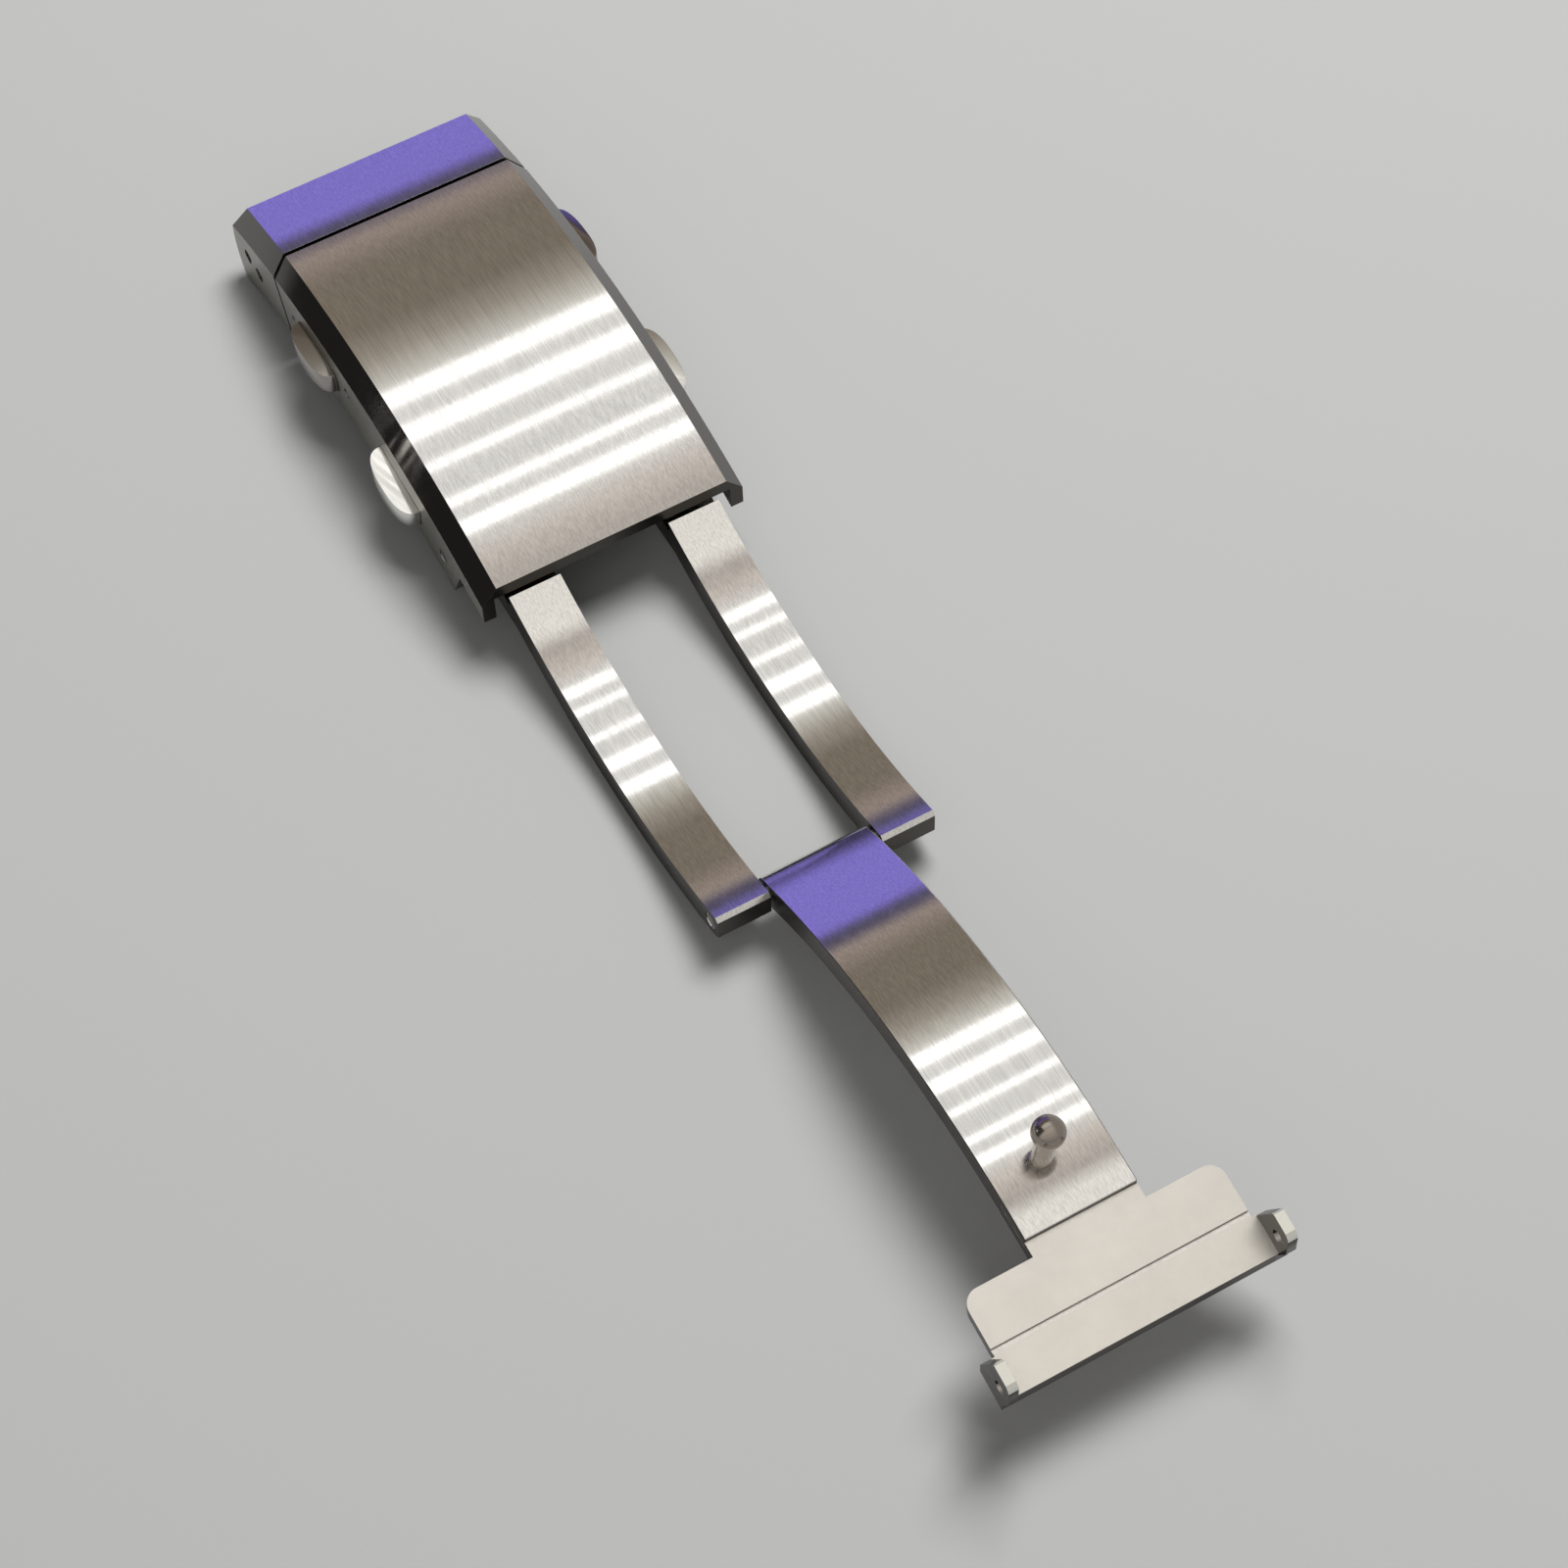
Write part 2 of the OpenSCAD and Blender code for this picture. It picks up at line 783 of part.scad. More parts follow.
module blade() {
    color(steel) place() difference() {
        slab(-blade_w, blade_w) union() {
            difference() {
                intersection() {
                    disc(blade_c, blade_r);
                    translate([h2[0], -blade_r])
                        square([blade_x1 - h2[0], 2 * blade_r]);
                }
                disc(blade_low, blade_low_r);
                // everything below the lower circle's widest part, and the lap joint
                translate([h2[0] - blade_r, blade_c[1] - 2 * blade_r])
                    square([3 * blade_r, 2 * blade_r]);
                intersection() {
                    translate([lap_x, blade_c[1]])
                        square([blade_r, 2 * blade_r]);
                    disc(blade_c, blade_r - lap_t);
                }
            }
            dot(h2, knuckle_r);
        }
        rod(h2, bore_r, -blade_w - seat, blade_w + seat);
        along_stud(-blade_t - lap_over, lap_over, stud_neck);
    }
}

// A rod along the axis of the stud, z0 to z1 above the top of the blade
module along_stud(z0, z1, r) {
    translate([stud_c[0], 0, stud_c[1]])
        rotate([0, stud_tilt, 0])
            translate([0, 0, z0 - stud_up])
                cylinder(r = r, h = z1 - z0, $fn = fine);
}

module locking_stud() {
    color(polish) place() union() {
        translate([stud_c[0], 0, stud_c[1]])
            sphere(r = stud_r, $fn = fine);
        along_stud(-blade_t + stud_foot, stud_up, stud_neck);
    }
}

module t_plate() {
    groove_x = tee_x1 - groove_in;
    color(satin) place() union() {
        difference() {
            intersection() {
                slab(-tee_w, tee_w) difference() {
                    disc(tee_c, tee_r);
                    disc(tee_c, tee_r - tee_t);
                }
                translate([0, 0, -tee_l])
                    linear_extrude(far)
                        tee_plan();
            }
            box(groove_x, groove_x + groove_w, -half_w, half_w, on_tee(groove_x) - groove_w,
                far);
        }
        // lap joint under the end of the blade
        slab(-blade_w, blade_w) difference() {
            intersection() {
                disc(blade_c, blade_r - lap_t);
                translate([lap_x, blade_c[1]])
                    square([lap_l + lap_over, 2 * blade_r]);
            }
            disc(blade_low, blade_low_r);
        }
        both() {
            slab(half_w - lug_t, half_w) difference() {
                lug_outline(lug_top_r);
                dot(lug_bore, lug_bore_r);
            }
            slab(tee_w, half_w)
                lug_outline(tee_r);
        }
    }
}

module tee_plan() {
    r = tee_corner;
    translate([blade_x1, -blade_w])
        square([tee_l, 2 * blade_w]);
    translate([tee_x0 + r, -tee_w])
        square([tee_l - r, 2 * tee_w]);
    translate([tee_x0, -tee_w + r])
        square([tee_l, 2 * (tee_w - r)]);
    for (s = [-1, 1])
        translate([tee_x0 + r, s * (tee_w - r)])
            circle(r, $fn = fine);
}

// A lug, cut off at the radius r above the T plate
module lug_outline(r) {
    x0 = lug_x0;
    z1 = on_tee(tee_x1);
    intersection() {
        difference() {
            disc(tee_c, r);
            disc(tee_c, tee_r - tee_t);
        }
        polygon([[x0, z1 - tee_l], [x0, on_tee(x0)], [x0 + lug_lean, on_tee(x0) + lug_h],
                 [x0 + lug_lean, z1 + far], [lug_x1, z1 + far], [lug_x1, z1 + lug_w],
                 [tee_x1, z1 - sunk], [tee_x1, z1 - tee_l]]);
    }
}

cover_shell();
lock_housing();
housing_pins();
keeper_plate();
keeper_screws();
arm_hinge_pin();
end_link();
slide_plate();
slide_screws();
lock_pusher_left();
lock_spring_left();
lock_pusher_right();
lock_spring_right();
adjust_pusher_left();
adjust_spring_left();
adjust_pusher_right();
adjust_spring_right();
arm_frame();
blade_hinge_pin();
blade();
locking_stud();
t_plate();
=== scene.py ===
"""Visual model of a folding deployant watch clasp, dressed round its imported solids.

Sizes are kept in millimetres from the foot of the end link, as in the part's own source,
and ``Mesher.place`` turns them into the shared frame's metres.
"""

import json
import logging
import math
from dataclasses import dataclass, replace
from enum import Enum, auto
from typing import Callable, Iterable, Sequence

import bmesh
import bpy
from mathutils import Matrix, Vector

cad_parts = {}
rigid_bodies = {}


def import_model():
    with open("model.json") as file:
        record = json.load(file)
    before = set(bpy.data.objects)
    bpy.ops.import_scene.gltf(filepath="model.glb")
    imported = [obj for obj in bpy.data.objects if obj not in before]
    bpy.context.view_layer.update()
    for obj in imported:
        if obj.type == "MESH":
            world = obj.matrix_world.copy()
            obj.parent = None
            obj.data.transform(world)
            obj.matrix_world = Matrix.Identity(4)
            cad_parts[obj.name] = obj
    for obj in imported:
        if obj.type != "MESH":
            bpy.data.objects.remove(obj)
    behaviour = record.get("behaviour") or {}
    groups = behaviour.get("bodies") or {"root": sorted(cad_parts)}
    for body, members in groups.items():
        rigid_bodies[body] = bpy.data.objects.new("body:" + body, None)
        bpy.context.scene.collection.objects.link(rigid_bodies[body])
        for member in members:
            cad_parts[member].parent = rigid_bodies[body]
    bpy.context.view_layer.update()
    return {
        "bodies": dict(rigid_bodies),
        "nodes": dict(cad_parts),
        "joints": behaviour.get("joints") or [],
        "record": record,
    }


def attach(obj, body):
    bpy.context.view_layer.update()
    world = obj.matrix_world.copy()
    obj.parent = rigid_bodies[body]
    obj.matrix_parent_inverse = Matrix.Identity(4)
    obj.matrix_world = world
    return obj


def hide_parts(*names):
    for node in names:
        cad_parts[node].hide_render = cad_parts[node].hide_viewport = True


log = logging.getLogger("clasp")

Point = tuple[float, float]
Triple = tuple[float, float, float]
Colour = Triple
Object = bpy.types.Object
Socket = bpy.types.NodeSocket

MM = 0.001
# Middle of the clasp's length, mm, where the frame has its origin
MID_X = 52.6415
# Axes of the hinges from cover to arms and from arms to blade, as (x, z)
FIRST_HINGE = (32.6, 3.8517)
SECOND_HINGE = (66.5, 2.9044)
# How far one solid is let into another before they are joined, mm
LAP = 0.02
# Steps in which a point that is found by repetition settles
SETTLE_STEPS = 20
# Part of a face's normal along an axis from which the face looks that way
FACING = 0.8
# The same along Y for a face of a plate's rounded edge
EDGE_FACING = 0.6
# Range of a noise that holds nearly all its values
NOISE_BODY = (0.3, 0.7)
# Degrees that a colour ramp covers, from -X over the top to +X
HALF_TURN = 180.0


class Side(Enum):
    """Side of the clasp, as the sign of Y."""

    LEFT = -1
    RIGHT = 1

    def span(self, y0: float, y1: float) -> Point:
        """Lowest and highest Y of what lies from y0 to y1 off the middle."""
        a, b = sorted((self.value * y0, self.value * y1))
        return a, b


class Solid(Enum):
    """What a second solid does to the first."""

    CUT = "DIFFERENCE"
    JOIN = "UNION"
    TRIM = "INTERSECT"


class Face(Enum):
    """Kinds of face, each with a finish of its own."""

    TOP = auto()
    BEVEL = auto()
    FLANK = auto()
    END = auto()
    LUG_TOP = auto()


@dataclass(frozen=True)
class Arc:
    """A circle in the X Z plane that a face follows.

    Attributes:
        x: Centre along the clasp, mm.
        z: Height of the centre, mm.
        r: Radius, mm.
    """

    x: float
    z: float
    r: float

    def above(self, x: float) -> float:
        """Height of the upper half of the circle at x."""
        return self.z + math.sqrt(self.r ** 2 - (x - self.x) ** 2)

    def below(self, x: float) -> float:
        """Height of the lower half of the circle at x."""
        return self.z - math.sqrt(self.r ** 2 - (x - self.x) ** 2)

    def left(self, z: float) -> float:
        """X of the -X half of the circle at height z."""
        return self.x - math.sqrt(self.r ** 2 - (z - self.z) ** 2)

    def grown(self, dr: float) -> "Arc":
        """The same circle with its radius changed by dr."""
        return replace(self, r=self.r + dr)

    def run(self, x0: float, x1: float, count: int, upper: bool = True) -> list[Point]:
        """Points as (x, z) on one half of the circle, in count steps from x0 to x1."""
        height = self.above if upper else self.below
        return [(x, height(x)) for x in spread(x0, x1, count)]

    def turn(self, start: float, stop: float, count: int) -> list[Point]:
        """Points as (x, z) round the circle, in count steps between two angles in degrees."""
        angles = [math.radians(a) for a in spread(start, stop, count)]
        return [(self.x + self.r * math.cos(a), self.z + self.r * math.sin(a)) for a in angles]


def spread(a: float, b: float, count: int) -> list[float]:
    """Evenly spaced values in count steps from a to b."""
    return [a + (b - a) * i / count for i in range(count + 1)]


def block(x0: float, x1: float, z0: float, z1: float) -> list[Point]:
    """Outline of a rectangle."""
    return [(x0, z0), (x1, z0), (x1, z1), (x0, z1)]


def across(half: float) -> Point:
    """Span from one side of the clasp to the other, given half its width."""
    return -half, half


def settle(step: Callable[[float], float], x: float) -> float:
    """Repeats a step that closes in on a value until it stands still.

    Args:
        step: Gives a better value.
        x: First guess.

    Returns:
        The value that the step leaves as it is.
    """
    for _ in range(SETTLE_STEPS):
        x = step(x)
    return x


def in_scene(name: str, data: bpy.types.ID) -> Object:
    """Makes an object of a mesh, camera or lamp and links it into the scene.

    Args:
        name: Name of the object.
        data: What it shows.

    Returns:
        The object.
    """
    obj = bpy.data.objects.new(name, data)
    bpy.context.scene.collection.objects.link(obj)
    return obj


@dataclass
class Mesher:
    """Builds meshes from outlines given in millimetres.

    Attributes:
        round_mm: Width of the small rounding on every sharp edge.
        round_steps: Segments of that rounding.
        round_angle: Edges sharper than this angle in degrees are rounded.
        weld: Distance in mm within which points of a cut piece become one.
        flat: Angle in degrees under which faces of a CAD solid become one.
        grain_scale: Size of the grain map for each metre.
    """

    round_mm: float = 0.09
    round_steps: int = 3
    round_angle: float = 28.0
    weld: float = 0.002
    flat: float = 0.5
    grain_scale: float = 50.0

    def place(self, x: float, y: float, z: float) -> Vector:
        """A point of the part's source, in the frame's metres."""
        return Vector(((x - MID_X) * MM, y * MM, z * MM))

    def add(self, name: str, bm: bmesh.types.BMesh) -> Object:
        """Turns a bmesh into a linked object with outward faces.

        Args:
            name: Name of the piece.
            bm: The mesh, which is freed.

        Returns:
            The new object.
        """
        bmesh.ops.recalc_face_normals(bm, faces=bm.faces)
        mesh = bpy.data.meshes.new(name)
        bm.to_mesh(mesh)
        bm.free()
        return in_scene(name, mesh)

    def loft(self, name: str, near: Sequence[Vector], far: Sequence[Vector]) -> Object:
        """Joins two loops with as many points into a solid.

        Args:
            name: Name of the piece.
            near: First loop, in metres.
            far: Other loop.

        Returns:
            The solid.
        """
        bm = bmesh.new()
        first, last = ([bm.verts.new(p) for p in loop] for loop in (near, far))
        for i in range(len(first)):
            j = (i + 1) % len(first)
            bm.faces.new((first[i], first[j], last[j], last[i]))
        bm.faces.new(first)
        bm.faces.new(last)
        return self.add(name, bm)

    def prism(self, name: str, outline: Sequence[Point], ys: Point) -> Object:
        """Makes an outline in X and Z solid between two places across the clasp."""
        return self.loft(name, *([self.place(x, y, z) for x, z in outline] for y in ys))

    def plate(self, name: str, plan: Sequence[Point], zs: Point) -> Object:
        """Makes a plan in X and Y solid between two heights."""
        return self.loft(name, *([self.place(x, y, z) for x, y in plan] for z in zs))

    def rod(self, name: str, centre: Point, r: float, ys: Point, sides: int = 48) -> Object:
        """Makes a round rod along Y."""
        return self.prism(name, Arc(*centre, r).turn(0, 360, sides)[:-1], ys)

    def shell(self, name: str, section: tuple[list[Point], list[Point]], arc: Arc,
              start: Callable[[float], float], stop: Callable[[float], float],
              steps: int) -> Object:
        """Sweeps a U shaped section along an arch.

        Args:
            name: Name of the piece.
            section: Outer and inner line with as many points, as (y, radius).
            arc: The arch, whose radius isn't used.
            start: Gives the x at which the section begins, from a radius.
            stop: Gives the x at which it ends, from a radius.
            steps: Number of steps along the arch.

        Returns:
            The shell.
        """
        outer, inner = section
        loop = outer + inner[::-1]
        size = len(loop)
        ends = [(math.asin((start(r) - arc.x) / r), math.asin((stop(r) - arc.x) / r))
                for _, r in loop]
        bm = bmesh.new()
        rings = []
        for k in range(steps + 1):
            angles = [a0 + (a1 - a0) * k / steps for a0, a1 in ends]
            rings.append([bm.verts.new(self.place(arc.x + r * math.sin(a), y,
                                                  arc.z + r * math.cos(a)))
                          for (y, r), a in zip(loop, angles)])
        for one, two in zip(rings, rings[1:]):
            for i in range(size):
                j = (i + 1) % size
                bm.faces.new((one[i], one[j], two[j], two[i]))
        for ring in (rings[0], rings[-1]):
            for i in range(len(outer) - 1):
                bm.faces.new((ring[i], ring[i + 1], ring[size - 2 - i], ring[size - 1 - i]))
        return self.add(name, bm)

    def combine(self, base: Object, how: Solid, tools: Iterable[Object]) -> None:
        """Works on a solid with others by the exact solver and removes these.

        Args:
            base: The piece that is kept.
            how: What the others do to it.
            tools: The others.
        """
        for tool in tools:
            step = base.modifiers.new("step", "BOOLEAN")
            step.operation = how.value
            step.solver = "EXACT"
            step.object = tool
            self.apply(base)
            bpy.data.objects.remove(tool)

    def apply(self, obj: Object) -> None:
        """Writes an object's modifiers into its mesh.

        Args:
            obj: The object.
        """
        bpy.context.view_layer.update()
        graph = bpy.context.evaluated_depsgraph_get()
        mesh = bpy.data.meshes.new_from_object(obj.evaluated_get(graph))
        obj.modifiers.clear()
        old, obj.data = obj.data, mesh
        mesh.name = obj.name
        bpy.data.meshes.remove(old)

    def ease(self, obj: Object) -> None:
        """Rounds the sharp edges a little, shades smoothly and lays the grain.

        Args:
            obj: The piece.
        """
        bm = bmesh.new()
        bm.from_mesh(obj.data)
        bmesh.ops.remove_doubles(bm, verts=bm.verts, dist=self.weld * MM)
        bmesh.ops.dissolve_degenerate(bm, edges=bm.edges, dist=self.weld * MM)
        bm.to_mesh(obj.data)
        bm.free()
        for poly in obj.data.polygons:
            poly.use_smooth = True
        edge = obj.modifiers.new("edge", "BEVEL")
        edge.width = self.round_mm * MM
        edge.segments = self.round_steps
        edge.limit_method = "ANGLE"
        edge.angle_limit = math.radians(self.round_angle)
        edge.harden_normals = True
        edge.use_clamp_overlap = True
        self.apply(obj)
        self.lay_grain(obj.data)

    def lay_grain(self, mesh: bpy.types.Mesh) -> None:
        """Adds the map whose first direction runs across the grinding lines.

        Args:
            mesh: Mesh of the piece.
        """
        layer = mesh.uv_layers.new(name="grain")
        for poly in mesh.polygons:
            n = poly.normal
            axes = (1, 2) if abs(n.x) > FACING else (2, 0) if abs(n.y) > FACING else (1, 0)
            for k in poly.loop_indices:
                co = mesh.vertices[mesh.loops[k].vertex_index].co
                layer.data[k].uv = [co[axis] * self.grain_scale for axis in axes]

    def tilt(self, obj: Object, centre: Point, angle: float) -> None:
        """Turns a mesh about a line along Y, by an angle in radians that sinks its +X side."""
        pivot = Matrix.Translation(self.place(centre[0], 0, centre[1]))
        obj.data.transform(pivot @ Matrix.Rotation(angle, 4, "Y") @ pivot.inverted())

    def copy_node(self, name: str, node: Object) -> Object:
        """Copies a CAD solid and makes its flat faces whole.

        Args:
            name: Name of the new piece.
            node: The CAD node.

        Returns:
            The piece, which still has to ride on its body.
        """
        bm = bmesh.new()
        bm.from_mesh(node.data)
        bmesh.ops.remove_doubles(bm, verts=bm.verts, dist=self.weld * MM / 2)
        bmesh.ops.dissolve_limit(bm, angle_limit=math.radians(self.flat), verts=bm.verts,
                                 edges=bm.edges)
        return self.add(name, bm)


class Wiring:
    """A small builder for the nodes of a material or the world."""

    def __init__(self, tree: bpy.types.NodeTree) -> None:
        """Keeps the tree."""
        self.tree = tree

    def node(self, kind: str, **values: object) -> bpy.types.Node:
        """Adds a node and sets its properties.

        Args:
            kind: Node type without the ShaderNode prefix.
            values: Properties to set.

        Returns:
            The node.
        """
        made = self.tree.nodes.new("ShaderNode" + kind)
        for key, value in values.items():
            setattr(made, key, value)
        return made

    def put(self, socket: Socket, value: Socket | Triple | float) -> None:
        """Links a socket to another one, or sets its number, direction or colour.

        Args:
            socket: The socket that takes the value.
            value: What it takes.
        """
        if isinstance(value, Socket):
            self.tree.links.new(value, socket)
        elif socket.type == "RGBA":
            socket.default_value = (*value, 1)
        else:
            socket.default_value = value

    def work(self, operation: str, *values: Socket | Triple | float,
             kind: str = "Math") -> Socket:
        """Works on numbers or directions.

        Args:
            operation: Blender's name of the operation.
            values: What it works on.
            kind: Math or VectorMath.

        Returns:
            The result's socket.
        """
        made = self.node(kind, operation=operation)
        for socket, value in zip(made.inputs, values):
            self.put(socket, value)
        return made.outputs["Value"]

    def noise(self, where: Socket, scale: float, detail: float, rough: float) -> Socket:
        """Adds a noise.

        Args:
            where: Coordinates that it is read at.
            scale: Noise scale.
            detail: Noise detail.
            rough: Noise roughness.

        Returns:
            The noise value's socket.
        """
        made = self.node("TexNoise")
        for key, value in (("Vector", where), ("Scale", scale), ("Detail", detail),
                           ("Roughness", rough)):
            self.put(made.inputs[key], value)
        return made.outputs["Fac"]

    def level(self, value: Socket, span: Point, out: Point = (0.0, 1.0),
              soft: bool = False) -> Socket:
        """Maps a value's range to another.

        Args:
            value: The value.
            span: Values that give the first and the last result.
            out: First and last result.
            soft: Whether it eases in and out.

        Returns:
            The result's socket.
        """
        made = self.node("MapRange", interpolation_type="SMOOTHSTEP" if soft else "LINEAR")
        for key, number in zip(("From Min", "From Max", "To Min", "To Max"), span + out):
            self.put(made.inputs[key], number)
        self.put(made.inputs["Value"], value)
        return made.outputs["Result"]

    def ramp(self, share: Socket, stops: list[tuple[float, Colour]],
             stepped: bool = False) -> Socket:
        """Adds a colour ramp.

        Args:
            share: What it is read at, as a part of half a turn.
            stops: Each stop's place in degrees, and its colour.
            stepped: Whether a colour holds until the next stop.

        Returns:
            The colour's socket.
        """
        made = self.node("ValToRGB")
        self.put(made.inputs[0], share)
        ramp = made.color_ramp
        ramp.interpolation = "CONSTANT" if stepped else "LINEAR"
        ramp.elements.remove(ramp.elements[-1])
        for k, (angle, colour) in enumerate(stops):
            place = angle / HALF_TURN
            stop = ramp.elements.new(place) if k else ramp.elements[0]
            stop.position, stop.color = place, (*colour, 1)
        return made.outputs[0]

    def mix(self, share: Socket, low: Socket | Colour, high: Socket | Colour) -> Socket:
        """Mixes two colours.

        Args:
            share: Part of the second.
            low: First colour.
            high: Second colour.

        Returns:
            The colour's socket.
        """
        made = self.node("Mix", data_type="RGBA")
        for index, value in ((0, share), (6, low), (7, high)):
            self.put(made.inputs[index], value)
        return made.outputs[2]


class Coat(Wiring):
    """The nodes of one material, in object space."""

    def __init__(self, name: str) -> None:
        """Starts an empty material.

        Args:
            name: Name of the material.
        """
        self.material = bpy.data.materials.new(name)
        self.material.use_nodes = True
        super().__init__(self.material.node_tree)
        self.shader = self.tree.nodes["Principled BSDF"]

    def feed(self, name: str, value: Socket | Triple | float) -> None:
        """Feeds the shader's input of that name."""
        self.put(self.shader.inputs[name], value)

    def marks(self, stretch: Triple, detail: float) -> Socket:
        """Adds a noise of marks on the metal.

        Args:
            stretch: Marks for each metre along each axis.
            detail: Noise detail.

        Returns:
            The noise value's socket.
        """
        pull = self.node("Mapping")
        self.put(pull.inputs["Vector"], self.node("TexCoord").outputs["Object"])
        self.put(pull.inputs["Scale"], stretch)
        return self.noise(pull.outputs["Vector"], scale=1.0, detail=detail, rough=0.6)

    def bump(self, height: Socket, depth_mm: float) -> None:
        """Raises the surface by a height map.

        Args:
            height: Height from 0 to 1.
            depth_mm: Height of 1, in mm.
        """
        made = self.node("Bump")
        for key, value in (("Strength", 1.0), ("Distance", depth_mm * MM), ("Height", height)):
            self.put(made.inputs[key], value)
        self.feed("Normal", made.outputs["Normal"])


@dataclass(frozen=True)
class Finish:
    """A finish of bare metal.

    Attributes:
        name: Name of the finish.
        base: Mean colour of the metal.
        rough: Mean roughness.
    """

    name: str
    base: Colour
    rough: float

    def shaded(self, factor: float) -> Colour:
        """The metal's colour made darker or lighter, up to white."""
        return tuple(min(1.0, c * factor) for c in self.base)

    def make(self) -> bpy.types.Material:
        """Builds the material.

        Returns:
            The material.
        """
        coat = Coat(self.name)
        coat.feed("Metallic", 1.0)
        self.wire(coat)
        return coat.material

    def wire(self, coat: Coat) -> None:
        """Wires colour, roughness and relief, which each kind of finish has its own way."""
        raise NotImplementedError


@dataclass(frozen=True)
class BrushedSteel(Finish):
    """Steel ground along the clasp, whose highlights spread across the lines.

    Attributes:
        spread: Strength of the directional gloss.
        line_mm: Depth of the grinding lines.
        lines: Grinding lines for each metre along each axis.
        drift: Broader changes of gloss for each metre.
        shades: Darkest and lightest line, as parts of the colour.
        play: How far the roughness goes either way.
    """

    rough: float = 0.10
    spread: float = 1.0
    line_mm: float = 0.00025
    lines: Triple = (160.0, 9000.0, 9000.0)
    drift: Triple = (90.0, 1400.0, 1400.0)
    shades: Point = (0.85, 1.12)
    play: float = 0.02

    def wire(self, coat: Coat) -> None:
        """Wires the grinding lines and the gloss across them.

        Args:
            coat: The material's nodes.
        """
        fine, broad = (coat.marks(stretch, detail=2.0) for stretch in (self.lines, self.drift))
        dark, light = map(self.shaded, self.shades)
        coat.feed("Base Color", coat.mix(coat.level(fine, NOISE_BODY), dark, light))
        coat.feed("Roughness", coat.level(broad, NOISE_BODY,
                                          (self.rough - self.play, self.rough + self.play)))
        coat.feed("Anisotropic", self.spread)
        tangent = coat.node("Tangent", direction_type="UV_MAP", uv_map="grain")
        coat.feed("Tangent", tangent.outputs["Tangent"])
        coat.bump(fine, self.line_mm)


@dataclass(frozen=True)
class PolishedSteel(Finish):
    """Steel polished to a mirror, with the faint marks of handling.

    Attributes:
        haze: Marks of handling for each metre.
        haze_body: Range of the marks that shows.
        haze_rough: Roughness that the marks add.
        haze_mm: Their depth.
        shade: Colour under them, as a part of the metal's.
    """

    rough: float = 0.06
    haze: Triple = (260.0, 260.0, 260.0)
    haze_body: Point = (0.35, 0.75)
    haze_rough: float = 0.07
    haze_mm: float = 0.0008
    shade: float = 0.94

    def wire(self, coat: Coat) -> None:
        """Wires the polish and its haze.

        Args:
            coat: The material's nodes.
        """
        haze = coat.marks(self.haze, detail=4.0)
        coat.feed("Roughness", coat.level(haze, self.haze_body,
                                          (self.rough, self.rough + self.haze_rough)))
        coat.feed("Base Color", coat.mix(haze, self.shaded(self.shade), self.base))
        coat.bump(haze, self.haze_mm)


@dataclass(frozen=True)
class BlastedSteel(Finish):
    """Steel with a fine matt blasted or milled face.

    Attributes:
        grit_mm: Depth of the grit marks.
        grit: Grit marks for each metre.
        cloud: Broad changes of tone for each metre.
        play: How far the roughness goes either way.
        shade: Darkest tone, as a part of the metal's.
    """

    rough: float = 0.42
    grit_mm: float = 0.004
    grit: Triple = (5200.0, 5200.0, 5200.0)
    cloud: Triple = (300.0, 300.0, 300.0)
    play: float = 0.06
    shade: float = 0.93

    def wire(self, coat: Coat) -> None:
        """Wires the grit and the clouded tone.

        Args:
            coat: The material's nodes.
        """
        grit, cloud = coat.marks(self.grit, detail=2.0), coat.marks(self.cloud, detail=3.0)
        coat.feed("Base Color", coat.mix(coat.level(cloud, NOISE_BODY),
                                         self.shaded(self.shade), self.base))
        coat.feed("Roughness", coat.level(grit, NOISE_BODY,
                                          (self.rough - self.play, self.rough + self.play)))
        coat.bump(grit, self.grit_mm)


BRUSHED = BrushedSteel("brushed_steel", (0.78, 0.77, 0.755))
# Darker copy of the brushed steel for the flanks: painted shade, for flanks that mirror the
# shadowed floor
FLANK = BrushedSteel("flank_steel", (0.30, 0.295, 0.265), 0.34, 0.5, 0.001)
# Near-black copy of the brushed steel for the sides and ends of arms, blade, T plate and lugs and
# the cover's ends: painted shade
SHADED_SIDE = BrushedSteel("side_steel", (0.07, 0.064, 0.056), 0.30, 0.5, 0.001)
POLISHED = PolishedSteel("polished_steel", (0.80, 0.795, 0.79))
BUTTON = PolishedSteel("button_polish", (0.80, 0.795, 0.76), 0.10)
# Darker copy of the button polish for the adjust pushers: painted shade
SHADED_BUTTON = PolishedSteel("dull_polish", (0.36, 0.34, 0.32), 0.10)
# Darker polished steel for the locking stud: painted shade and a painted dark reflection
SHADED_STUD = PolishedSteel("stud_polish", (0.36, 0.32, 0.285), 0.20)
# Near-black polished steel for the bevel of cover and end link: painted shade and a painted dark
# reflection
SHADED_BEVEL = PolishedSteel("bevel_polish", (0.18, 0.172, 0.163), 0.035)
PIN = BlastedSteel("pin_ends", (0.14, 0.14, 0.135), 0.35, 0.001)
MATT = BlastedSteel("blasted_steel", (0.92, 0.89, 0.85))
MILLED = BlastedSteel("milled_steel", (0.55, 0.55, 0.54), 0.38, 0.003)
TURNED = BlastedSteel("turned_steel", (0.50, 0.50, 0.50), 0.30, 0.001)
WIRE = BlastedSteel("spring_wire", (0.42, 0.42, 0.44), 0.28, 0.001)

# Finishes of the arched bodies but for their ends, and of the plates between the hinges. Their
# bevel, flank and side finishes are darker copies of the same steel: painted shade.
ARCHED = {Face.TOP: BRUSHED, Face.BEVEL: SHADED_BEVEL, Face.FLANK: FLANK}
BANDS = {Face.TOP: BRUSHED, Face.FLANK: SHADED_SIDE}


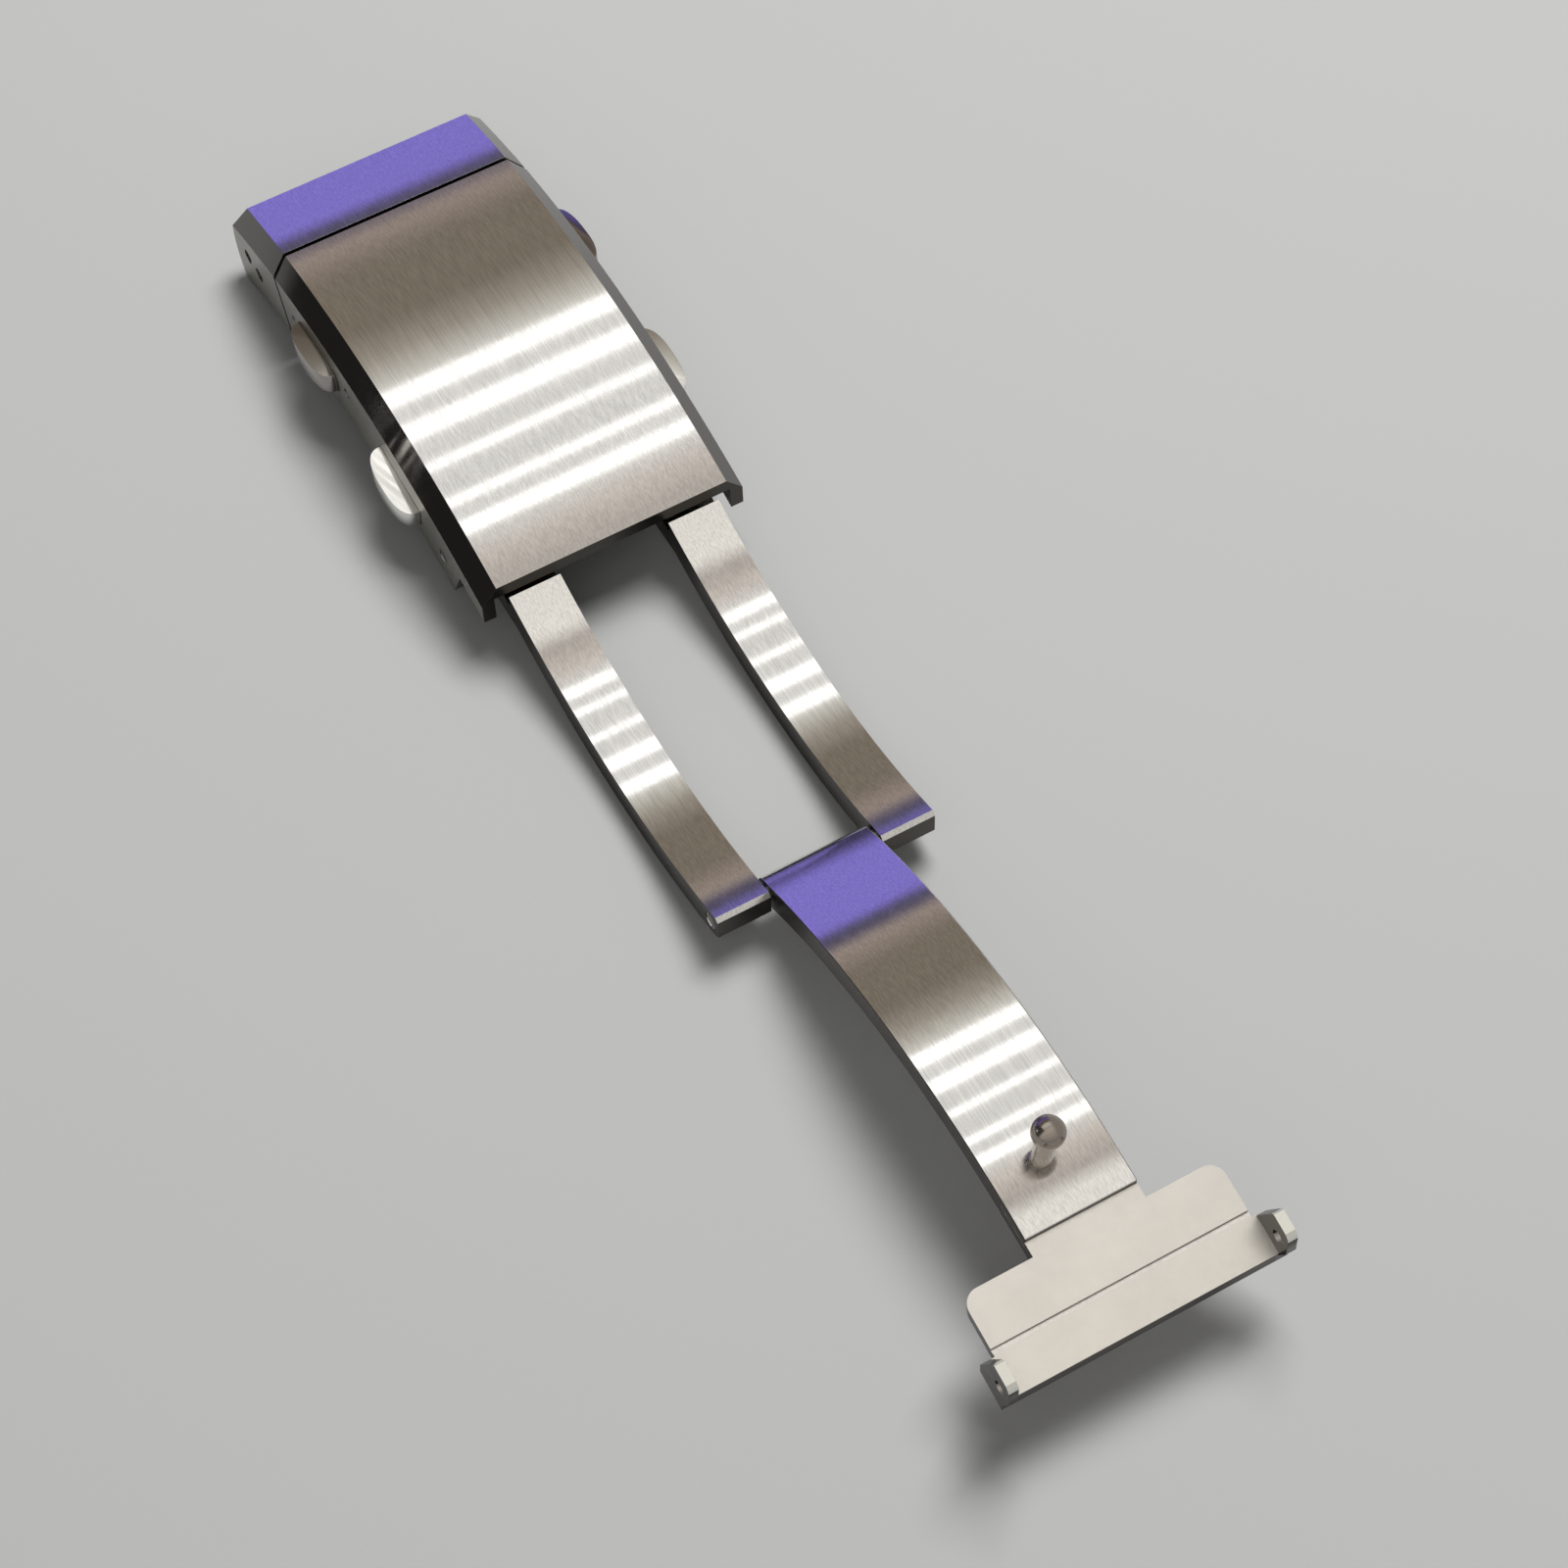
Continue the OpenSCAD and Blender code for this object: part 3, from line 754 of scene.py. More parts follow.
def plain_face(poly: bpy.types.MeshPolygon) -> Face:
    """Takes every face of a piece as a top."""
    return Face.TOP


def plate_face(poly: bpy.types.MeshPolygon) -> Face:
    """Tells the sides and ends of a plate from its broad faces."""
    edge = abs(poly.normal.y) > EDGE_FACING or abs(poly.normal.x) > FACING
    return Face.FLANK if edge else Face.TOP


@dataclass
class Piece:
    """A sub-assembly, which hands its pieces over to the frame.

    Attributes:
        mesher: Mesh builder.
        made: Materials by the name of their finish, shared by the whole clasp.
    """

    frame: dict
    mesher: Mesher
    made: dict[str, bpy.types.Material]

    def material(self, finish: Finish) -> bpy.types.Material:
        """Gives a finish's material, which is built at its first use.

        Args:
            finish: The finish.

        Returns:
            The material.
        """
        if finish.name not in self.made:
            self.made[finish.name] = finish.make()
        return self.made[finish.name]

    def hand_over(self, obj: Object, body: str, slot: str, node: str,
                  finishes: dict[Face, Finish],
                  face_of: Callable[[bpy.types.MeshPolygon], Face] = plain_face) -> None:
        """Rounds and dresses a piece, which then rides on a body and stands for a CAD node.

        Args:
            obj: The piece.
            body: Body that it rides on.
            slot: Material slot of the record; not used.
            node: CAD node that it replaces.
            finishes: Finish of each kind of face.
            face_of: Gives a face's kind.
        """
        self.mesher.ease(obj)
        obj.data.materials.clear()
        for finish in finishes.values():
            obj.data.materials.append(self.material(finish))
        kinds = list(finishes)
        for poly in obj.data.polygons:
            poly.material_index = kinds.index(face_of(poly))
        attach(obj, body)
        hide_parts(node)
        log.info("piece %s on %s: %d faces", obj.name, body, len(obj.data.polygons))

    def dress(self, finish: Finish, *nodes: str) -> None:
        """Gives CAD nodes that stay their finish.

        Args:
            finish: The finish.
            nodes: The nodes.
        """
        for name in nodes:
            self.frame["nodes"][name].data.materials[0] = self.material(finish)
            log.info("node %s dressed in %s", name, finish.name)


@dataclass
class Cover(Piece):
    """The arched cover with its pushers' windows and what it holds.

    Attributes:
        width: Width over the flanks.
        arch: Arch of the top face.
        steps: Mesh steps along the arch.
        flank_h: Height of the flanks.
        flank_t: Thickness of the flanks.
        flank_steps: Mesh steps over their height.
        roof_t: Thickness under the top face.
        roof_in: Distance of the first line inside the roof from its corner.
        roof_lines: Y of the mesh lines along the roof.
        bevel: Drop of the polished bevel.
        bevel_w: Its width over the top.
        end: Where the cover ends.
        gap: Gap to the end link.
        split: Where the joint to the end link meets the top face, as (x, z).
        split_lean: Lean of the joint, mm for each mm of depth.
        pin_r: Radius of the hinge pin.
        notch_h: Height of the notches for the lugs.
        notch_in: Where they begin, from the hinge.
        notch_lean: How far their back leans over their height.
        push_l: Length of the pushers' windows.
        push_h: Height of the pushers' windows.
        windows: Middle and upper edge of each window, as (x, z).
        guides: Guide pins, as (x, z).
        guide_r: Radius of their holes, which show as dark rings.
        reach: How far cutters reach inside and outside the flank's inner face.
        past: How far they reach past the cover's end.
        deep: Height that they reach down to.
        top_facing: Most Y and least Z of the normal of a top face.
        bevel_facing: The same for a face of the bevel.
    """

    width: float = 20.0
    arch: Arc = Arc(19.4, -60.8701, 70.0)
    steps: int = 44
    flank_h: float = 6.1
    flank_t: float = 0.95
    flank_steps: int = 5
    roof_t: float = 1.0
    roof_in: float = 0.25
    roof_lines: Triple = (4.3, 0.0, -4.3)
    bevel: float = 1.35
    bevel_w: float = 1.2
    end: float = 38.6
    gap: float = 0.4
    split: Point = (6.0, 7.835)
    split_lean: float = 0.3443
    pin_r: float = 0.6
    notch_h: float = 3.15
    notch_in: float = 1.2
    notch_lean: float = 1.33
    push_l: float = 6.16
    push_h: float = 1.76
    windows: tuple[Point, ...] = ((26.2, 5.49), (13.5, 6.04))
    guides: tuple[Point, ...] = ((9.45, 4.86), (18.2, 6.06))
    guide_r: float = 0.37
    reach: Point = (1.0, 3.0)
    past: float = 2.0
    deep: float = -4.0
    top_facing: Point = (0.3, 0.5)
    bevel_facing: Point = (0.9, 0.2)

    def lean_at(self, x: float) -> float:
        """Angle by which a pusher at x is turned to lie along the arch."""
        return math.asin((x - self.arch.x) / self.arch.r)

    def joint_x(self, z: float) -> float:
        """Where the slanted joint to the end link stands at a height."""
        return self.split[0] + self.split_lean * (self.split[1] - z)

    def joint_at(self, r: float, shift: float = 0.0) -> float:
        """X of the joint on the arch of radius r, moved by a shift in mm."""
        ring = replace(self.arch, r=r)
        return settle(lambda x: self.joint_x(ring.above(x)) + shift, self.split[0])

    def section(self, inner_y: float, roof_t: float) -> tuple[list[Point], list[Point]]:
        """The U section of cover and end link.

        Args:
            inner_y: Half the inner width.
            roof_t: Thickness under the top.

        Returns:
            Outer and inner line, as (y, radius).
        """
        w, r, b = self.width / 2, self.arch.r, self.bevel
        low, count = r - self.flank_h, self.flank_steps
        outer = [(w, q) for q in spread(low, r - b, count)] + [(w - self.bevel_w, r)]
        inner = [(inner_y, q) for q in spread(low, r - roof_t, count)]
        inner.append((min(inner_y, w - b) - self.roof_in, r - roof_t))
        return self.both_halves(outer), self.both_halves(inner)

    def both_halves(self, line: list[Point]) -> list[Point]:
        """Carries a line of the section on over the roof and down the other side."""
        roof = [(y, line[-1][1]) for y in self.roof_lines]
        return line + roof + [(-y, q) for y, q in line[::-1]]

    def notch(self) -> list[Point]:
        """Side outline of a lug's notch.

        Returns:
            The outline, open past the cover's foot and end.
        """
        top, low = (self.arch.grown(h - self.flank_h) for h in (self.notch_h, 0.0))
        x0, x1 = FIRST_HINGE[0] + self.notch_in, self.end + self.past
        back = [(x0, self.deep), (x0, low.above(x0))]
        return back + top.run(x0 + self.notch_lean, x1, count=12) + [(x1, self.deep)]

    def cutters(self, side: Side) -> list[Object]:
        """Cutters for what is open in one flank.

        Args:
            side: Which flank.

        Returns:
            Cutters of the notch, the windows and the pins' holes.
        """
        m, inner_y = self.mesher, self.width / 2 - self.flank_t
        ys = side.span(inner_y - self.reach[0], inner_y + self.reach[1])
        cuts = [m.prism("cut", self.notch(), ys)]
        for x, top in self.windows:
            half, low = self.push_l / 2, top - self.push_h
            cuts.append(m.prism("cut", block(x - half, x + half, low, top), ys))
            m.tilt(cuts[-1], (x, (low + top) / 2), self.lean_at(x))
        cuts.append(m.rod("cut", FIRST_HINGE, self.pin_r, ys))
        return cuts + [m.rod("cut", guide, self.guide_r, ys, sides=32) for guide in self.guides]

    def face_of(self, poly: bpy.types.MeshPolygon) -> Face:
        """Kind of a face of the arched body.

        Args:
            poly: The face.

        Returns:
            Top, bevel, flank or end.
        """
        n = poly.normal
        if abs(n.x) > FACING and n.z < self.top_facing[1]:
            return Face.END
        for face, (most_y, least_z) in ((Face.TOP, self.top_facing),
                                        (Face.BEVEL, self.bevel_facing)):
            if abs(n.y) < most_y and n.z > least_z:
                return face
        return Face.FLANK

    def build(self) -> None:
        """Builds the cover and dresses what it holds."""
        section = self.section(self.width / 2 - self.flank_t, self.roof_t)
        body = self.mesher.shell("cover", section, self.arch,
                                 lambda r: self.joint_at(r, self.gap), lambda r: self.end,
                                 self.steps)
        self.mesher.combine(body, Solid.CUT, [cut for side in Side for cut in self.cutters(side)])
        # The cover's end faces take the near-black side finish, painted shade
        self.hand_over(body, "cover", "brushed_steel", "cover_shell",
                       {**ARCHED, Face.END: SHADED_SIDE}, self.face_of)
        self.dress(MILLED, "lock_housing", "keeper_plate")
        self.dress(TURNED, "keeper_screws")
        self.dress(PIN, "housing_pins", "arm_hinge_pin")


@dataclass
class EndLink(Piece):
    """The sliding end link with its cheeks and slide plate.

    Attributes:
        cover: The cover, which shares its arch and joint.
        steps: Mesh steps along the arch.
        bulge: Circle of the outer end.
        cheek_t: Thickness of each cheek.
        roof_t: Thickness under the top face.
        bores: Cross bores, as (x, z).
        bore_r: Their radius.
        reach: How far their cutters reach past each face of a cheek.
        wall_foot: Lower edge of the wall that holds the slide plate, as (x, z) points.
        wall_x: Where the wall ends under the roof.
        wall_y: Half its width.
        wall_in: How far it is let into the roof.
    """

    cover: Cover
    steps: int = 16
    bulge: Arc = Arc(5.96, 3.6, 7.0)
    cheek_t: float = 1.6
    roof_t: float = 1.3
    bores: tuple[Point, ...] = ((1.3, 3.5), (3.1, 3.3))
    bore_r: float = 0.55
    reach: float = 1.0
    wall_foot: tuple[Point, Point] = ((2.9, 4.99), (6.77, 5.54))
    wall_x: float = 6.3
    wall_y: float = 6.45
    wall_in: float = 0.3

    def end_at(self, r: float) -> float:
        """X of the bulged end on the arch of radius r."""
        ring = replace(self.cover.arch, r=r)
        return settle(lambda x: self.bulge.left(ring.above(x)), 0.0)

    def wall(self) -> Object:
        """Builds the wall that the slide plate is screwed to.

        Returns:
            The wall.
        """
        roof = self.cover.arch.grown(-self.roof_t + self.wall_in)
        top = roof.run(self.wall_foot[0][0], self.wall_x, count=8)
        return self.mesher.prism("wall", [*self.wall_foot, *top[::-1]], across(self.wall_y))

    def build(self) -> None:
        """Builds the end link and dresses the slide plate."""
        m, half = self.mesher, self.cover.width / 2
        inner_y = half - self.cheek_t
        link = m.shell("end_link_shell", self.cover.section(inner_y, self.roof_t),
                       self.cover.arch, self.end_at, self.cover.joint_at, self.steps)
        for side in Side:
            ys = side.span(inner_y - self.reach, half + self.reach)
            m.combine(link, Solid.CUT, [m.rod("cut", bore, self.bore_r, ys)
                                        for bore in self.bores])
        m.combine(link, Solid.JOIN, [self.wall()])
        # The end link's end faces take the flank finish, painted shade
        self.hand_over(link, "end_link", "brushed_steel", "end_link",
                       {**ARCHED, Face.END: FLANK}, self.cover.face_of)
        self.dress(MILLED, "slide_plate")
        self.dress(TURNED, "slide_screws")


@dataclass
class Pushers(Piece):
    """The four pushers, whose buttons lie along the arch, and their springs.

    Attributes:
        cover: The cover, whose windows the buttons stand in.
        kinds: Each kind of pusher, how far it stands out in mm, and its finish.
        half: Half the length of a button.
        thick: Height of a button.
        root_y: Where a button begins, inside the flank.
        cut_y: Where the solid's own button is cut away.
        cut_room: Half length and half height of what is cut away there.
        blunt: How blunt the ends are, 2 for an ellipse.
        curve_steps: Mesh steps round a button.
        half_turn: Angle that these cover, a trace less than half a turn, where sines end.
    """

    cover: Cover
    kinds: tuple[tuple[str, float, Finish], ...] = (("lock", 1.4, BUTTON),
                                                    ("adjust", 1.2, SHADED_BUTTON))
    half: float = 3.0
    thick: float = 1.6
    root_y: float = 8.8
    cut_y: float = 9.02
    cut_room: Point = (4.0, 3.0)
    blunt: float = 2.7
    curve_steps: int = 44
    half_turn: float = math.pi * 0.99999

    def button(self, x: float, z: float, out: float, side: Side) -> Object:
        """Builds one blunt button, turned to lie along the arch.

        Args:
            x: Its middle along the clasp.
            z: Height of its middle.
            out: How far it stands out of the flank.
            side: Its side of the clasp.

        Returns:
            The button.
        """
        power, wall = 2 / self.blunt, self.cover.width / 2
        plan = [(x - self.half, self.root_y), (x + self.half, self.root_y)]
        plan += [(x + math.copysign(self.half * abs(math.cos(a)) ** power, math.cos(a)),
                  wall + out * math.sin(a) ** power)
                 for a in spread(0, self.half_turn, self.curve_steps)]
        cap = self.mesher.plate("button", [(u, side.value * y) for u, y in plan],
                                (z - self.thick / 2, z + self.thick / 2))
        self.mesher.tilt(cap, (x, z), self.cover.lean_at(x))
        return cap

    def build(self) -> None:
        """Builds the four pushers on the inner halves of their solids."""
        m = self.mesher
        long, high = self.cut_room
        for (kind, out, finish), (x, top) in zip(self.kinds, self.cover.windows):
            z = top - self.cover.push_h / 2
            for side in Side:
                name = side.name.lower()
                node = f"{kind}_pusher_{name}"
                push = m.copy_node(f"{kind}_button_{name}", self.frame["nodes"][node])
                gone = m.prism("cut", block(x - long, x + long, z - high, z + high),
                               side.span(self.cut_y, self.cut_y + long))
                m.combine(push, Solid.CUT, [gone])
                m.combine(push, Solid.JOIN, [self.button(x, z, out, side)])
                self.hand_over(push, node, "polished_steel", node, {Face.TOP: finish})
                self.dress(WIRE, f"{kind}_spring_{name}")


@dataclass
class Arms(Piece):
    """The pair of curved arms between the two hinges.

    Attributes:
        under: Circle of the underside.
        thick: Thickness of the arms.
        start: Where the bands begin.
        end: Where the bands end.
        edge: Height of the slope at their square end.
        steps: Mesh steps along them.
        inner: Half the gap between the arms.
        outer: Half the width over both arms.
        tube_r: Radius of the cross tube.
        tube_w: Half its length.
        bore: Radius of the hinges' bores.
        bore_w: Half the length of their cutters.
        neck_l: How far a neck runs into its band.
        neck_top: Upper edge of a neck, as parts of tube radius and band thickness.
        neck_in: How far its foot lies inside tube and band.
    """

    under: Arc = Arc(54.0, 44.2, 44.2)
    thick: float = 2.2
    start: float = 38.75
    end: float = 67.6
    edge: float = 0.3
    steps: int = 48
    inner: float = 4.15
    outer: float = 8.05
    tube_r: float = 1.4
    tube_w: float = 8.95
    bore: float = 0.62
    bore_w: float = 11.0
    neck_l: float = 1.0
    neck_top: Point = (0.8, 0.68)
    neck_in: float = 0.01

    def band(self) -> list[Point]:
        """Side outline of a band with its square end.

        Returns:
            The outline, as (x, z).
        """
        stop = self.end - self.edge
        low = self.under.run(self.start, stop, self.steps, upper=False)
        top = self.under.grown(-self.thick).run(stop, self.start, self.steps, upper=False)
        square = [(self.end, low[-1][1] + self.edge), (self.end, top[0][1] - self.edge)]
        return low + square + top

    def neck(self) -> list[Point]:
        """Side outline of the neck under the cover.

        Returns:
            The outline, as (x, z).
        """
        (x0, z0), x1 = FIRST_HINGE, self.start + self.neck_l
        z1 = self.under.below(x1)
        return [(x0, z0 + self.tube_r * self.neck_top[0]),
                (x1, z1 + self.thick * self.neck_top[1]), (x1, z1 + self.neck_in),
                (x0, z0 - self.tube_r + self.neck_in)]

    def build(self) -> None:
        """Builds the arm frame."""
        m = self.mesher
        frame = m.rod("arm_pair", FIRST_HINGE, self.tube_r, across(self.tube_w))
        parts = []
        for side in Side:
            parts.append(m.prism("band", self.band(), side.span(self.inner, self.outer)))
            parts.append(m.prism("neck", self.neck(),
                                 side.span(self.inner + LAP, self.outer - LAP)))
        m.combine(frame, Solid.JOIN, parts)
        m.combine(frame, Solid.CUT, [m.rod("cut", hinge, self.bore, across(self.bore_w))
                                     for hinge in (FIRST_HINGE, SECOND_HINGE)])
        self.hand_over(frame, "arms", "brushed_steel", "arm_frame", BANDS, plate_face)
        self.dress(POLISHED, "blade_hinge_pin")


@dataclass
class Blade(Piece):
    """The curved blade with its locking stud and T plate.

    Attributes:
        top: Circle of the top face.
        low: Circle of the underside.
        knuckle: Radius round the hinge.
        knuckle_turn: Angles between which the knuckle is round, in degrees.
        knuckle_x: Where top and underside meet it, from the hinge.
        bore: Radius of the hinge's bore.
        bore_w: Half the length of its cutter.
        half: Half the width.
        end: Where the blade ends.
        lap_x: Where the lap joint begins.
        lap_t: Thickness of the blade over the lap.
        lap_over: How far the T plate's tongue runs past the blade's end.
        tee: Circle of the T plate's top face.
        tee_t: Thickness of the T plate.
        tee_x: Where its wings begin and end.
        tee_w: Half the width of its wings.
        room: How far its band reaches over its ends and sides before it is trimmed.
        trim_z: Heights that the trimming solid and the groove's cutter reach.
        corner: Radius of the wings' back corners.
        groove_in: Distance of the cross groove from the wings' end.
        groove_w: Its width.
        groove_d: Its depth.
        lug_h: Height of the lugs.
        lug_x: Where they begin and end.
        lug_y: Y of their outer faces.
        lug_t: Their thickness.
        lug_back: Points up their back: from its foot, where the height is read, and drop.
        lug_front: Points down their front, given the same way from its edge.
        lug_step: Height of the step in their front over the plate, and of its slope below.
        lug_bore: Their bore, as (x, z).
        lug_bore_r: Its radius.
        lug_shine: Part of their height, and of a normal along Z, from which a face is bright.
    """

    top: Arc = Arc(87.973, -36.8126, 46.2)
    low: Arc = Arc(88.773, -36.8126, 44.38)
    knuckle: float = 1.05
    knuckle_turn: Point = (118.4, 252.0)
    knuckle_x: Point = (-0.4, 0.05)
    bore: float = 0.64
    bore_w: float = 6.0
    half: float = 3.95
    end: float = 98.2029
    lap_x: float = 95.4029
    lap_t: float = 0.85
    lap_over: float = 1.4
    tee: Arc = Arc(86.4729, -54.7701, 63.7)
    tee_t: float = 0.85
    tee_x: Point = (99.1729, 105.6729)
    tee_w: float = 9.0
    room: Point = (1.0, 2.0)
    trim_z: Point = (-2.0, 20.0)
    corner: float = 1.1
    groove_in: float = 3.0
    groove_w: float = 0.32
    groove_d: float = 0.15
    lug_h: float = 3.0
    lug_x: Point = (103.1729, 106.3229)
    lug_y: float = 10.0
    lug_t: float = 0.7
    lug_back: tuple[Triple, ...] = ((1.28, 1.3, 0.3), (1.5, 1.5, 0.02))
    lug_front: tuple[Triple, ...] = ((0.35, 0.35, 0.0), (0.08, 0.0, 0.15), (0.0, 0.0, 0.4))
    lug_step: Point = (1.0, 0.3)
    lug_bore: Point = (105.3229, 7.577)
    lug_bore_r: float = 0.5
    lug_shine: Point = (0.6, 0.3)

    def outline(self) -> list[Point]:
        """Side outline of the blade.

        Returns:
            The outline, as (x, z).
        """
        over_x, under_x = (SECOND_HINGE[0] + dx for dx in self.knuckle_x)
        over = self.top.run(over_x, self.end, count=60)
        lap = self.top.grown(-self.lap_t).run(self.lap_x, self.end, count=8)
        under = self.low.run(under_x, self.lap_x, count=50)
        back = Arc(*SECOND_HINGE, self.knuckle).turn(*self.knuckle_turn, count=22)
        return over + lap[::-1] + under[::-1] + back[::-1]

    def wing_plan(self) -> list[Point]:
        """Plan of the T plate.

        Returns:
            The outline, as (x, y).
        """
        x0, x1 = self.tee_x
        w, c = self.tee_w, self.corner
        corner = [(x0 + c - c * math.cos(a), w - c + c * math.sin(a))
                  for a in spread(0, math.pi / 2, count=8)]
        upper = [(self.end, self.half), (x0, self.half), *corner, (x1, w)]
        return upper + [(x, -y) for x, y in upper[::-1]]

    def tee_strip(self, x0: float, x1: float, count: int) -> list[Point]:
        """Side outline of the T plate between two places along the clasp."""
        low = self.tee.grown(-self.tee_t)
        return self.tee.run(x0, x1, count) + low.run(x0, x1, count)[::-1]

    def lug(self) -> list[Point]:
        """Side outline of a lug with its rounded top.

        Returns:
            The outline, as (x, z).
        """
        (x0, x1), end = self.lug_x, self.tee_x[1]
        top, low = (self.tee.grown(dr) for dr in (self.lug_h, -self.tee_t))
        step = self.tee.above(end)
        line = [(x0, low.above(x0)), (x0, self.tee.above(x0))]
        line += [(x0 + dx, top.above(x0 + at) - drop) for dx, at, drop in self.lug_back]
        line += [(x1 - dx, top.above(x1 - at) - drop) for dx, at, drop in self.lug_front]
        return line + [(x1, step + self.lug_step[0]), (end, step - self.lug_step[1]),
                       (end, low.above(end))]

    def tee_plate(self) -> Object:
        """Builds the T plate with its lugs.

        Returns:
            The plate, before its edges are rounded.
        """
        m, x1, (over, wide) = self.mesher, self.tee_x[1], self.room
        band = self.tee_strip(self.end - over, x1 + over, count=24)
        plate = m.prism("tee_plate", band, across(self.tee_w + wide))
        m.combine(plate, Solid.TRIM, [m.plate("cut", self.wing_plan(), self.trim_z)])
        x = x1 - self.groove_in
        groove = block(x, x + self.groove_w, self.tee.above(x) - self.groove_d, self.trim_z[1])
        m.combine(plate, Solid.CUT, [m.prism("cut", groove, across(self.lug_y + wide))])
        stop = self.end + self.lap_over
        tongue = self.top.grown(-self.lap_t).run(self.lap_x, stop, count=8)
        tongue += self.low.run(self.lap_x, stop, count=8)[::-1]
        foot = self.tee_strip(self.lug_x[0], x1, count=6)
        parts = [m.prism("tongue", tongue, across(self.half))]
        for side in Side:
            a, b = side.span(self.lug_y - self.lug_t, self.lug_y)
            lug = m.prism("lug", self.lug(), (a, b))
            bore = m.rod("cut", self.lug_bore, self.lug_bore_r, (a - over, b + over))
            m.combine(lug, Solid.CUT, [bore])
            parts += [lug, m.prism("foot", foot, side.span(self.tee_w - LAP, self.lug_y))]
        m.combine(plate, Solid.JOIN, parts)
        return plate

    def tee_face(self, poly: bpy.types.MeshPolygon) -> Face:
        """Kind of a face of the T plate: matt top, edge in painted shade or bright lug top.

        Args:
            poly: The face.

        Returns:
            Its kind.
        """
        x, z = poly.center.x / MM + MID_X, poly.center.z / MM
        high, facing = self.lug_shine
        bright = z > self.tee.above(x) + self.lug_h * high and poly.normal.z > facing
        return Face.LUG_TOP if bright else plate_face(poly)

    def build(self) -> None:
        """Builds blade and T plate and dresses the stud."""
        m = self.mesher
        blade = m.prism("blade_bow", self.outline(), across(self.half))
        m.combine(blade, Solid.CUT, [m.rod("cut", SECOND_HINGE, self.bore, across(self.bore_w))])
        self.hand_over(blade, "blade", "brushed_steel", "blade", BANDS, plate_face)
        self.hand_over(self.tee_plate(), "blade", "satin_steel", "t_plate",
                       {Face.TOP: MATT, Face.FLANK: SHADED_SIDE, Face.LUG_TOP: BUTTON}, self.tee_face)
        self.dress(SHADED_STUD, "locking_stud")


